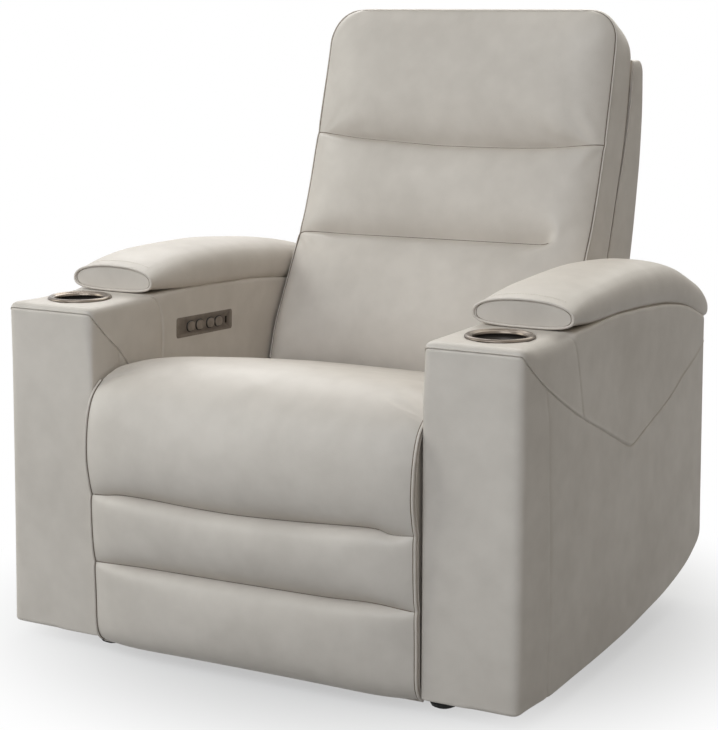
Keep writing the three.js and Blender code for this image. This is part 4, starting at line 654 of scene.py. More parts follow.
@dataclass(frozen=True)
class Finish:
    """A finish whose tone, gloss and relief come from the shared groups."""

    light: Sequence[float]
    dark: Sequence[float]
    gloss: tuple[float, float] = (0.42, 0.52)
    metallic: float = 0.0
    drift_scale: float = 7.0
    fine_scale: float = 60.0
    relief: float = 0.25
    relief_depth: float = 0.0006
    pebble_scale: float = 620.0
    crease_scale: float = 70.0
    crease_share: float = 0.35
    brushed: Triple | None = None
    brush_scale: float = 240.0
    rubbed: Sequence[float] | None = None
    sheen: float = 0.0
    specular: float = 0.35

    def build(self, name: str, groups: ShaderGroups) -> bpy.types.Material:
        """Makes the material.

        Args:
            name: the material's name.
            groups: the shared shader groups.

        Returns:
            The node material.
        """
        material = bpy.data.materials.new(name)
        material.use_nodes = True
        shader = material.node_tree.nodes["Principled BSDF"]
        for label, value in (
            ("Metallic", self.metallic), ("Sheen Weight", self.sheen), ("Specular IOR Level", self.specular),
        ):
            shader.inputs[label].default_value = value
        group = "ShaderNodeGroup"
        nodes = {
            "where": ("ShaderNodeTexCoord",),
            "drift": (group, {"node_tree": groups.drift}, {
                "Scale": self.drift_scale, "Fine Scale": self.fine_scale, "Light": self.light,
                "Dark": self.dark,
            }),
            "gloss": (RANGE, {}, {"To Min": self.gloss[0], "To Max": self.gloss[1]}),
            "relief": (group, {"node_tree": groups.grain}, {
                "Pebble Scale": self.pebble_scale, "Crease Scale": self.crease_scale,
                "Crease Share": self.crease_share,
            }),
            "bump": ("ShaderNodeBump", {}, {"Strength": self.relief, "Distance": self.relief_depth}),
        }
        links = [
            "where.Object > drift.Vector", "where.Object > relief.Vector", "drift.Mask > gloss.Value",
            "gloss.Result > Principled BSDF.Roughness", "relief.Height > bump.Height",
            "bump.Normal > Principled BSDF.Normal",
        ]
        if self.brushed:
            nodes["relief"] = (
                group, {"node_tree": groups.brushed}, {"Scale": self.brush_scale, "Stretch": self.brushed},
            )
        if self.rubbed:
            nodes["wear"] = (group, {"node_tree": groups.wear})
            nodes["mix"] = (*MIX_COLOURS, {7: self.rubbed})
            links += [
                "where.Object > wear.Vector", "wear.Mask > mix.Factor", "drift.Color > mix.6",
                "mix.2 > Principled BSDF.Base Color",
            ]
        else:
            links.append("drift.Color > Principled BSDF.Base Color")
        wire(material.node_tree, nodes, links)
        return material


class FinishBook:
    """Holds every finish and makes each material once."""

    RECIPES = {
        Surface.LEATHER: Finish(
            linear(209, 201, 192), linear(197, 189, 180), (0.46, 0.52), relief=0.22, drift_scale=5.0,
            fine_scale=28.0,
        ),
        Surface.WELT: Finish(
            linear(206, 198, 189), linear(198, 189, 180), (0.38, 0.46), relief=0.18, pebble_scale=900.0,
        ),
        # Painted seam shade: a dark matte finish for cords that stand in for the shade in sewn grooves and
        # beside welts.
        Surface.SEAM: Finish(
            linear(128, 116, 104), linear(104, 93, 82), (0.6, 0.7), relief=0.2, pebble_scale=900.0,
        ),
        Surface.THREAD: Finish(
            linear(226, 219, 207), linear(212, 203, 190), (0.6, 0.7), relief=0.3, brushed=(1.0, 1.0, 0.2),
            brush_scale=1800.0, sheen=0.2,
        ),
        Surface.LINING: Finish(
            linear(38, 37, 36), linear(26, 26, 26), (0.85, 0.95), relief=0.5, pebble_scale=1400.0,
            drift_scale=20.0,
        ),
        Surface.DARK_STEEL: Finish(
            linear(46, 46, 48), linear(32, 32, 34), (0.32, 0.46), metallic=0.35, relief=0.12,
            pebble_scale=1500.0, crease_share=0.1, rubbed=linear(98, 96, 94),
        ),
        Surface.ZINC: Finish(
            linear(196, 198, 200), linear(166, 168, 172), (0.26, 0.4), metallic=1.0, relief=0.08,
            brushed=(1.0, 0.06, 1.0), fine_scale=140.0,
        ),
        Surface.BRONZE: Finish(
            linear(122, 112, 102), linear(100, 91, 83), (0.26, 0.36), metallic=0.9, relief=0.1,
            brushed=(1.0, 0.05, 1.0), brush_scale=420.0, rubbed=linear(186, 176, 164),
        ),
        Surface.PLASTIC: Finish(
            linear(34, 34, 35), linear(24, 24, 25), (0.38, 0.5), relief=0.15, pebble_scale=2200.0,
            crease_share=0.05,
        ),
        Surface.RUBBER: Finish(
            linear(30, 29, 28), linear(20, 20, 20), (0.62, 0.78), relief=0.2, pebble_scale=1200.0,
            crease_share=0.2,
        ),
        Surface.PLYWOOD: Finish(
            linear(206, 176, 132), linear(168, 132, 88), (0.55, 0.7), relief=0.25,
            brushed=(0.25, 1.0, 1.0), brush_scale=90.0, drift_scale=14.0,
        ),
        Surface.WELL: Finish(
            linear(52, 46, 42), linear(38, 34, 31), (0.3, 0.42), metallic=0.5, relief=0.08,
            brushed=(1.0, 1.0, 0.05),
        ),
    }

    def __init__(self) -> None:
        """Builds the shared groups."""
        self.groups = ShaderGroups()
        self.made: dict[Surface, bpy.types.Material] = {}

    def material(self, surface: Surface) -> bpy.types.Material:
        """Gives the material of a finish, made on its first use."""
        if surface not in self.made:
            self.made[surface] = self.RECIPES[surface].build(surface.value, self.groups)
        return self.made[surface]

    def dress(self, piece: bpy.types.Object, *surfaces: Surface) -> None:
        """Fills a piece's material slots in order."""
        piece.data.materials.clear()
        for surface in surfaces:
            piece.data.materials.append(self.material(surface))


# Sewing and carrying


@dataclass(frozen=True)
class Bend:
    """Two bodies that a cover spans, and the start and end of the stretch between them."""

    first: str
    second: str
    start: tuple[float, float]
    end: tuple[float, float]


class Workshop:
    """Makes covers, cords and stitches, and gives each piece to the body that carries it."""

    COMMON_NODES = {
        "line": ("GeometryNodeMeshToCurve",),
        "steps": ("GeometryNodeResampleCurve", {"mode": "LENGTH"}),
        "smooth": ("GeometryNodeSetShadeSmooth",),
        "real": ("GeometryNodeRealizeInstances",),
        "paint": ("GeometryNodeSetMaterial",),
    }
    COMMON_LINKS = (
        "Group Input.Geometry > line.0", "line.0 > steps.Curve", "smooth.0 > real.0",
        "real.0 > paint.Geometry", "Group Input.Material > paint.Material", "paint.0 > Group Output.Geometry",
    )
    CORD_SIDES = 8
    LEAST_STEP_RADIUS = 2.5
    STEP_SHARE = 1.6
    STITCH_PITCH = 4.6
    STITCH_THICKNESS = 0.8
    STITCH_SHARE = 0.72
    STITCH_UNEVENNESS = 0.12
    STITCH_SEED = 7

    def __init__(self, place: Place, book: FinishBook) -> None:
        """Builds the two geometry trees.

        Args:
            place: the frame's place.
            book: the finishes.
        """
        self.place = place
        self.book = book
        self.cord_tree = self._cord_tree()
        self.stitch_tree = self._stitch_tree()

    def _tree(self, name: str, inputs: dict, nodes: NodeTable, links: Sequence[str]) -> bpy.types.NodeTree:
        """Makes a geometry tree that resamples a path and ends in Realize Instances and Set Material."""
        shape = {"Geometry": "NodeSocketGeometry"}
        return new_group(
            name, "GeometryNodeTree", {**shape, **inputs, "Material": "NodeSocketMaterial"}, shape,
            {**self.COMMON_NODES, **nodes}, (*self.COMMON_LINKS, *links),
        )

    def _cord_tree(self) -> bpy.types.NodeTree:
        """A round cord along the path."""
        return self._tree(
            "welt_run", {"Radius": 0.003, "Step": 0.006, "Sides": self.CORD_SIDES},
            {
                "ring": ("GeometryNodeCurvePrimitiveCircle",),
                "tube": ("GeometryNodeCurveToMesh", {}, {"Fill Caps": True}),
            },
            (
                "Group Input.Step > steps.Length", "Group Input.Radius > ring.Radius",
                "Group Input.Sides > ring.Resolution", "steps.0 > tube.Curve", "ring.0 > tube.Profile Curve",
                "tube.0 > smooth.0",
            ),
        )

    def _stitch_tree(self) -> bpy.types.NodeTree:
        """Short rounded stitches laid end to end along the path."""
        return self._tree(
            "stitch_run",
            {
                "Pitch": 0.005, "Length": 0.0036, "Thickness": 0.0008, "Unevenness": self.STITCH_UNEVENNESS,
                "Seed": self.STITCH_SEED,
            },
            {
                "bead": ("GeometryNodeMeshUVSphere", {}, {"Segments": 6, "Rings": 4, "Radius": 0.5}),
                "tangent": ("GeometryNodeInputTangent",),
                "turn": ("FunctionNodeAlignRotationToVector", {"axis": "Z"}),
                "size": ("ShaderNodeCombineXYZ",), "low": maths("SUBTRACT", 1.0),
                "vary": ("FunctionNodeRandomValue", {"data_type": "FLOAT"}),
                "scale": ("ShaderNodeVectorMath", {"operation": "SCALE"}),
                "place": ("GeometryNodeInstanceOnPoints",),
            },
            (
                "Group Input.Pitch > steps.Length", "Group Input.Thickness > size.X",
                "Group Input.Thickness > size.Y", "Group Input.Length > size.Z",
                "Group Input.Unevenness > low.1", "low.0 > vary.2", "Group Input.Seed > vary.Seed",
                "size.0 > scale.0", "vary.1 > scale.Scale", "tangent.0 > turn.Vector",
                "steps.0 > place.Points", "bead.0 > place.Instance", "turn.0 > place.Rotation",
                "scale.0 > place.Scale", "place.0 > smooth.0",
            ),
        )

    def _run(
        self, name: str, tree: bpy.types.NodeTree, paths: Sequence[np.ndarray], closed: bool,
        surface: Surface, **values: float,
    ) -> bpy.types.Object:
        """Runs a tree along paths and keeps a plain mesh.

        Args:
            name: the piece's name.
            tree: the geometry tree.
            paths: frame points of each path.
            closed: whether each path joins its own start.
            surface: the finish.
            values: the tree's inputs by name.

        Returns:
            The new piece.
        """
        points: list[tuple[float, ...]] = []
        edges: list[tuple[int, int]] = []
        for path in paths:
            start = len(points)
            points += [tuple(p) for p in path]
            edges += [(start + i, start + i + 1) for i in range(len(path) - 1)]
            if closed:
                edges.append((len(points) - 1, start))
        mesh = bpy.data.meshes.new(name)
        mesh.from_pydata(points, edges, [])
        piece = linked(name, mesh)
        maker = piece.modifiers.new("run", "NODES")
        maker.node_group = tree
        named = {item.name: item.identifier for item in tree.interface.items_tree if item.in_out == "INPUT"}
        for label, value in values.items():
            maker[named[label]] = value
        maker[named["Material"]] = self.book.material(surface)
        bake_modifiers(piece)
        if not piece.data.materials:
            piece.data.materials.append(self.book.material(surface))
        return piece

    def cord(
        self, name: str, paths: Sequence[np.ndarray], radius: float, surface: Surface, carrier: str | Bend,
        closed: bool = False, slot: str = "leather",
    ) -> None:
        """Lays a round cord along each path of frame points.

        Args:
            name: the piece's name.
            paths: frame points of each path.
            radius: the cord's radius in millimetres.
            surface: the finish.
            carrier: the body that carries the cord, or a bend, where the cord only has its transform baked.
            closed: whether each path joins its own start.
            slot: the record's slot; not used.
        """
        step = max(radius, self.LEAST_STEP_RADIUS) * self.STEP_SHARE * MM
        piece = self._run(
            name, self.cord_tree, paths, closed, surface, Radius=radius * MM, Step=step,
            Sides=self.CORD_SIDES,
        )
        self.carry(piece, slot, carrier)

    def seam(
        self, name: str, path: np.ndarray, radius: float, surface: Surface, carrier: str | Bend,
        on: bpy.types.Object | None = None, closed: bool = False,
    ) -> None:
        """Sews a cord along one path in millimetres, laid on a piece's surface where one is given."""
        line = self.place.points(path)
        if on is not None:
            line = laid_on(on, line, SEAM_LIFT)
        self.cord(name, [line], radius, surface, carrier, closed)

    def stitches(self, name: str, path: np.ndarray, carrier: str) -> None:
        """Sews a row of stitches along a path of frame points."""
        piece = self._run(
            name, self.stitch_tree, [path], False, Surface.THREAD, Pitch=self.STITCH_PITCH * MM,
            Length=self.STITCH_PITCH * self.STITCH_SHARE * MM, Thickness=self.STITCH_THICKNESS * MM,
            Unevenness=self.STITCH_UNEVENNESS, Seed=self.STITCH_SEED,
        )
        self.carry(piece, "leather", carrier)

    def carry(self, piece: bpy.types.Object, slot: str, carrier: str | Bend) -> None:
        """Gives a piece to the body that carries it, or only bakes its transform where a bend is given."""
        if isinstance(carrier, Bend):
            start, end = (tuple(self.place.point(0, *spot)) for spot in (carrier.start, carrier.end))
            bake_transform(piece)
        else:
            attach(piece, carrier)

    def stuffed(
        self, name: str, skin: np.ndarray, lattice: Lattice, held: Sequence[np.ndarray],
        seams: Sequence[np.ndarray], swelling: Swelling, lining: np.ndarray | None = None,
    ) -> bpy.types.Object:
        """Makes a stuffed leather cover whose swelling and sewn lines are in its final mesh.

        Args:
            name: the piece's name.
            skin: the lattice's skin in millimetres, at its place on the seat.
            lattice: the lattice.
            held: blocks of vertex numbers that the swelling leaves alone.
            seams: vertex numbers along each sewn line, in order.
            swelling: how the cover swells.
            lining: vertex numbers of the side that is lined with black cloth.

        Returns:
            The cover.
        """
        cover = new_piece(name, self.place.points(skin), lattice.faces())
        pinned = set(np.concatenate([block.ravel() for block in held]).tolist()) - {-1}
        swelling.run(cover, sorted(pinned))
        surfaces = [Surface.LEATHER]
        if lining is not None:
            under = set(lining.ravel().tolist())
            for polygon in cover.data.polygons:
                polygon.material_index = int(under.issuperset(polygon.vertices))
            surfaces.append(Surface.LINING)
        for line in seams:
            sharpen(cover, line)
        refine(cover)
        bake_modifiers(cover)
        self.book.dress(cover, *surfaces)
        LOG.info("%s: %d faces", name, len(cover.data.polygons))
        return cover


def lathe(name: str, profile: Points, centre: tuple[float, float], place: Place) -> bpy.types.Object:
    """Turns a profile about an upright axis.

    Args:
        name: the piece's name.
        profile: (radius, height) points in millimetres, from the axis to the axis or closed on itself.
        centre: the axis's side and depth.
        place: the frame's place.

    Returns:
        The new piece.
    """
    turns = 96
    angles = np.linspace(0, 2 * math.pi, turns, endpoint=False)
    rings = [
        np.column_stack([centre[0] + r * np.cos(angles), centre[1] + r * np.sin(angles), np.full(turns, z)])
        for r, z in profile
    ]
    piece = new_piece(name, place.points(np.vstack(rings)), grid_faces(len(profile), turns, closed=True))
    work = bmesh.new()
    work.from_mesh(piece.data)
    bmesh.ops.remove_doubles(work, verts=work.verts, dist=MERGE_DISTANCE * MM)
    bmesh.ops.recalc_face_normals(work, faces=work.faces)
    work.to_mesh(piece.data)
    work.free()
    return piece


# Upholstery


def between(front: np.ndarray, back: np.ndarray, layers: int) -> np.ndarray:
    """Fills the room between two sheets of points with evenly spaced layers."""
    k = np.linspace(0, 1, layers + 1)[None, None, :, None]
    return front[:, :, None, :] * (1 - k) + back[:, :, None, :] * k


@dataclass
class ChaisePad:
    """The seat and footrest cover: one run of leather with two sewn channels."""

    shop: Workshop
    half_width: float = 306.0
    foot_half_width: float = 305.5
    columns: int = 62
    crowding: float = 0.8
    pitch: float = 11.0
    fine: float = 3.0
    layers: int = 5
    crown_level: float = 470.0
    upper_level: float = 283.0
    lower_level: float = 165.0
    seat_middle: float = 300.0
    front_depth: float = 30.0
    narrowing: tuple[float, float] = (60.0, 120.0)
    end_rolls: tuple[float, float] = (60.0, 42.0)
    lining_inset: float = 2.0
    lifts: tuple[float, ...] = (10.0, 14.0, 11.0, 17.0, 13.0)
    side_roll: float = 118.0
    side_puff: float = 2.0
    puff_width: float = 30.0
    left_set_back: float = 5.5
    set_back_reach: tuple[float, float] = (40.0, 70.0)
    thread_wave: tuple[float, float] = (4.5, 2.5)
    channels: tuple[Channel, Channel] = (Channel(15, 48, 22, 110), Channel(13, 42, 21, 110))
    upper_wander: Points = (
        (-1, 2), (-0.9, 0), (-0.8, -3.5), (-0.6, -2.5), (-0.4, 0), (-0.1, 1.5), (0.1, 0), (0.32, -2.5),
        (0.6, -7), (0.78, -9), (0.86, -3), (1, -6),
    )
    lower_wander: Points = ((-1, 0), (0.45, 0), (0.75, -3), (1, 0))
    edge: Points = (
        (549, 402), (528, 413), (395, 436), (250, 462), (140, 484), (93, 488), (61, 486), (26, 475),
        (-2, 455), (-16, 430), (-24, 396), (-27, 350), (-22, 315), (-18, 285), (-17, 225), (-13, 166),
        (-11, 110), (-10, 52), (1, 28), (18, 21),
    )
    lining_line: Points = (
        (549, 392), (524, 391), (500, 379), (395, 378), (250, 378), (180, 380), (120, 392), (70, 416),
        (30, 438), (27, 410), (27.7, 372), (27.7, 285), (27.7, 166), (27.7, 80), (27, 32),
    )
    bend: Bend = Bend("seat", "footrest", (16.0, 460.0), (-34.0, 390.0))

    def build(self) -> None:
        """Builds the cover, its welts and its seams."""
        outer, inner = Outline(self.edge), Outline(self.lining_line)
        u = crowded(self.columns, self.crowding)
        crown, upper, lower = (
            outer.distance_at_height(level, self.front_depth)
            for level in (self.crown_level, self.upper_level, self.lower_level)
        )
        flat = np.ones(len(u))
        arch = np.cos(u * math.pi / 2)
        upper_seam = upper + 2 * arch - self.thread_wave[0] - u + smooth_function(self.upper_wander)(u)
        lower_seam = lower + arch - self.thread_wave[1] * (1 + u) - 1 + smooth_function(self.lower_wander)(u)
        stops = [0 * flat, crown * flat, upper_seam, lower_seam, outer.length * flat]
        travel, marks = graded(stops, self.pitch, self.fine)
        narrow = [crown - self.narrowing[0], crown + self.narrowing[1]]
        width = np.interp(travel, narrow, [self.half_width, self.foot_half_width])
        from_side = (1 - np.abs(u)) * width
        ends = roll(travel, self.end_rolls[0]) * roll(outer.length - travel, self.end_rolls[1])
        lift = np.interp(travel, [0, self.seat_middle, crown, upper, lower], self.lifts)
        height = lift * roll(from_side, self.side_roll, ROLL_POWER) * ends
        height += self.side_puff * roll(from_side, self.puff_width) * ends
        for mark, channel in zip(marks[2:], self.channels):
            channel.sink(height, travel[mark] - travel, from_side, flat)
        front = np.empty((*travel.shape, 3))
        front[..., 0] = u * width
        front[..., 1:] = outer.at(travel) - outer.normal(travel) * height[..., None]
        set_back = fade(travel, crown - self.set_back_reach[0], crown + self.set_back_reach[1])
        front[..., 1] += self.left_set_back * (1 + u) / 2 * set_back
        back = np.empty_like(front)
        back[..., 0] = u * (width - self.lining_inset)
        back[..., 1:] = inner.at(travel / outer.length * inner.length)
        points = between(front, back, self.layers)
        lattice = Lattice(points)
        index = lattice.index
        seams = [index[mark, :, 0] for mark in marks[2:4]]
        cover = self.shop.stuffed(
            "chaise_cover", lattice.skin_points, lattice,
            [index[:, 0], index[:, -1], index[:, :, -1], index[0], index[-1], *seams], seams, Swelling(),
            lining=index[:, :, -1],
        )
        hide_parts("seat_cushion", "footrest_pad")
        self.shop.carry(cover, "leather", self.bend)
        self._trim(cover, points, marks)

    def _trim(self, cover: bpy.types.Object, points: np.ndarray, marks: list[int]) -> None:
        """Sews the channels, the welts down both sides and the foot, with dark cords of painted shade in the
        channels and beside the welts.
        """
        first = marks[1] - 2
        # The channel lines are dark cords of painted shade, laid in each channel's crease.
        for number, mark, part in ((1, marks[2], slice(2, -10)), (2, marks[3], slice(1, -2))):
            row = points[mark, :, 0]
            for word, path, radius in (("line", row[part], 1.1), ("end", row, 0.55)):
                name = f"chaise_channel_{number}_{word}"
                self.shop.seam(name, path, radius, Surface.SEAM, "footrest", on=cover)
        for side, column, near in ((Side.RIGHT, 0, 1), (Side.LEFT, -1, -2)):
            rim = points[first:, column, 0] + (0, -1.2, 0)
            side_rim = rim[4:] + (side.value * 0.2, 9.5, 0)
            seam = rim * 0.3 + points[first:, near, 0] * 0.7
            # The thin dark seam cord beside each welt is painted shade.
            for word, path, radius, surface in (
                ("front", rim, 2.3, Surface.WELT), ("side", side_rim, 1.6, Surface.WELT),
                ("seam", seam, 0.8, Surface.SEAM),
            ):
                self.shop.seam(f"chaise_{word}_welt_{side.word}", path, radius, surface, self.bend)
        foot = points[-1, :, 0]
        # The foot's dark seam cord above its welt is painted shade.
        for word, shift, radius, surface in (
            ("welt", (0, -5.0, -1.5), 2.6, Surface.WELT), ("seam", (0, -5.5, 2.4), 0.9, Surface.SEAM),
        ):
            self.shop.seam(f"chaise_{word}_foot", foot + shift, radius, surface, "footrest")


@dataclass
class BackCushion:
    """The back and headrest cover: a boxed cushion with three pillows."""

    shop: Workshop
    columns: int = 62
    crowding: float = 0.82
    pitch: float = 10.0
    fine: float = 3.0
    layers: int = 9
    swell: float = 24.0
    side_roll: float = 105.0
    head_level: float = 829.0
    waist_level: float = 660.0
    head_lift: float = 15.0
    right_head_lift: float = 4.0
    waist_tilt: float = 3.0
    waist_end: float = 0.76
    waist_line_end: float = 0.79
    waist_fade: tuple[float, float] = (0.74, 0.84)
    end_rolls: tuple[float, float] = (70.0, 80.0)
    crown_reach: float = 60.0
    crown_power: float = 0.6
    corner: float = 50.0
    right_corner: float = 66.0
    rear_corner: float = 80.0
    top_crown: float = 5.5
    right_extra: Points = ((690, 0), (760, 3), (829, 6.3), (950, 7.5), (1080, 7.5))
    corner_steps: int = 9
    edge_turn: float = 9.0
    edge_width: float = 26.0
    edge_power: float = 2.2
    half_width: Points = ((416, 302), (640, 302), (830, 299.5), (1080, 295.5))
    waist_channel: Channel = Channel(15, 48, 22, 115)
    head_channel: Channel = Channel(17, 48, 22, 115)
    welt_line: Points = (
        (548, 416), (573, 491), (608, 554), (660, 648), (695, 714), (741, 829), (768, 915), (789, 990),
        (800, 1042), (804, 1081.5),
    )
    rear_line: Points = (
        (645, 404), (683, 460), (733, 551), (775, 636), (818, 747), (850, 829), (871, 910), (884, 990),
        (890, 1070),
    )
    bend: Bend = Bend("back", "headrest", (735.0, 803.0), (757.0, 865.0))

    def build(self) -> None:
        """Builds the cushion, its welts and its seams."""
        face, rear = Outline(self.welt_line), Outline(self.rear_line)
        u = crowded(self.columns, self.crowding)
        flat = np.ones(len(u))
        head = face.distance_at_height(self.head_level) + self.head_lift * np.abs(u) ** 3
        head += self.right_head_lift * fade(-u, 0.05, 0.5)
        waist = face.distance_at_height(self.waist_level) + self.waist_tilt * u
        straight = face.length - self.corner
        travel, marks = graded([0 * flat, waist, head, straight * flat], self.pitch, self.fine)
        angles = np.linspace(0, math.pi / 2, self.corner_steps + 1)[1:]
        travel = np.vstack([travel, np.outer(straight + self.corner * np.sin(angles), flat)])
        base = face.at(travel)
        full_width = smooth_function(self.half_width)(base[..., 1])
        left, right, behind = (
            rounding(travel - (face.length - corner), corner)
            for corner in (self.corner, self.right_corner, self.rear_corner)
        )
        right_share = fade(u, 0.0, -0.8)
        width = full_width - left * (1 - right_share) - right * right_share
        from_side = (1 - np.abs(u)) * width
        ends = roll(travel, self.end_rolls[0]) * roll(face.length - travel, self.end_rolls[1])
        height = self.swell * roll(from_side, self.side_roll, ROLL_POWER) * ends
        height -= self.edge_turn * (1 - roll(from_side, self.edge_width, self.edge_power))
        waist_kept = 1 - fade(u, *self.waist_fade)
        self.waist_channel.sink(height, travel - travel[marks[1]], from_side, waist_kept)
        self.head_channel.sink(height, travel - travel[marks[2]], from_side, flat)
        extra = smooth_function(self.right_extra)(base[..., 1]) * (1 - u) / 2
        front = np.empty((*travel.shape, 3))
        front[..., 0] = u * width - extra
        front[..., 1:] = base + face.normal(travel) * height[..., None]
        back = np.empty_like(front)
        back[..., 0] = u * (full_width - behind) - extra * 0.5
        back[..., 1:] = rear.at(travel / face.length * rear.length)
        points = between(front, back, self.layers)
        near_top = fade(travel, face.length - self.crown_reach, face.length)[..., None]
        depth_share = np.linspace(0, 1, self.layers + 1)
        points[..., 2] += self.top_crown * near_top * np.sin(math.pi * depth_share**self.crown_power)
        lattice = Lattice(points)
        index = lattice.index
        seams = [index[marks[1], u < self.waist_end, 0], index[marks[2], :, 0]]
        cover = self.shop.stuffed(
            "back_cover", lattice.skin_points, lattice,
            [index[:, 0], index[:, -1], index[:, :, -1], index[0], index[-1], *seams], seams, Swelling(),
        )
        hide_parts("back_cushion", "headrest_cushion")
        self.shop.carry(cover, "leather", self.bend)
        self._trim(points)
        # The channel lines are dark cords of painted shade in the channels' creases.
        waist_count = int((u < self.waist_line_end).sum())
        for word, row in (("waist", points[marks[1], 1:waist_count, 0]), ("head", points[marks[2], :, 0])):
            self.shop.seam(f"back_channel_{word}", row, 1.1, Surface.SEAM, self.bend, on=cover)

    def _trim(self, points: np.ndarray) -> None:
        """Sews the welt round the face, and a dark cord of painted seam shade just inside it."""
        face = points[:, :, 0]
        welt = np.vstack([face[3:, 0], face[-1, 1:-1], face[:2:-1, -1]])
        outside = np.vstack([face[3:, 0], face[-1, 2:-2], face[:2:-1, -1]])
        inside = np.vstack([face[3:, 1], face[-2, 2:-2], face[:2:-1, -2]])
        self.shop.seam("back_welt_face", welt, 1.9, Surface.WELT, self.bend)
        # A dark cord of painted seam shade just inside the welt.
        self.shop.seam("back_seam_shade_face", (outside + inside) / 2, 0.8, Surface.SEAM, self.bend)


@dataclass
class BackShell:
    """The outside back: one leather wrap round both sides and the rear."""

    shop: Workshop
    half_width: float = 300.0
    wall: float = 17.0
    corner: float = 9.0
    top: float = 989.0
    bottom: float = 310.0
    gap: float = 3.0
    top_turn: float = 24.0
    top_sink: float = 7.0
    pitch: float = 14.0
    top_steps: int = 6
    side_steps: int = 14
    corner_steps: int = 6
    rear_steps: int = 40
    layer_shares: tuple[float, ...] = (0, 0.12, 0.5, 0.88, 1)
    rear_line: Points = (
        (310, 800), (425, 840), (533, 879), (635, 909), (730, 929), (818, 943), (899, 948), (989, 944),
    )
    front_line: Points = (
        (310, 652), (404, 652), (460, 686), (551, 736), (636, 778), (747, 821), (829, 853), (910, 875),
        (987, 890),
    )

    def build(self) -> None:
        """Builds the wrap and its front welts."""
        turn = self.top - self.top_turn
        angles = np.linspace(0, math.pi / 2, self.top_steps + 1)[1:]
        heights = np.concatenate([
            np.linspace(self.bottom, turn, round((self.top - self.bottom) / self.pitch)),
            turn + self.top_turn * np.sin(angles),
        ])
        rear = smooth_function(self.rear_line)(heights)
        front = smooth_function(self.front_line)(heights) + self.gap
        points = np.array([self._row(*spot) for spot in zip(heights, rear, front)])
        lattice = Lattice(points)
        cover = new_piece("back_shell", self.shop.place.points(lattice.skin_points), lattice.faces())
        refine(cover)
        self.shop.book.dress(cover, Surface.LEATHER)
        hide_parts("back_side_left", "back_side_right", "back_rear_panel")
        self.shop.carry(cover, "leather", "back")
        for side, column in ((Side.RIGHT, 0), (Side.LEFT, -1)):
            self.shop.seam(f"shell_welt_{side.word}", points[:, column, 0], 1.8, Surface.WELT, "back")

    def _row(self, z: float, rear: float, front: float) -> np.ndarray:
        """One level of the wrap, from its right front edge round the rear to the left one."""
        sink = rounding(z - (self.top - self.top_turn), self.top_turn) * self.top_sink / self.top_turn
        w, rear = self.half_width - sink, rear - sink
        t = np.linspace(0, 1, self.side_steps, endpoint=False)
        a = np.linspace(0, math.pi / 2, self.corner_steps, endpoint=False)
        straight = np.column_stack([np.full(len(t), -w), front + (rear - self.corner - front) * t])
        turned = np.column_stack([
            -w + self.corner * (1 - np.cos(a)), rear - self.corner + self.corner * np.sin(a),
        ])
        right = np.vstack([straight, turned])
        across = np.linspace(-1, 1, self.rear_steps + 1) * (w - self.corner)
        middle = np.column_stack([across, np.full(len(across), rear)])
        outside = np.vstack([right, middle, right[::-1] * (-1, 1)])
        along = np.gradient(outside, axis=0)
        along /= np.linalg.norm(along, axis=1, keepdims=True)
        inward = np.stack([along[:, 1], -along[:, 0]], 1) * (self.wall - sink)
        level = np.full(len(outside), z)
        layers = [np.column_stack([outside + inward * share, level]) for share in self.layer_shares]
        return np.stack(layers, 1)


LEFT_RISE: Points = ((250, 0), (392, 6), (509, 7), (617, 8.5), (705, 8), (770, 5), (829, 4))


def pad_rise(side: Side, depth: np.ndarray) -> np.ndarray:
    """How much higher the left arm and its pad stand than the right ones, towards the rear."""
    return smooth_function(LEFT_RISE)(depth) if side is Side.LEFT else np.zeros_like(depth)


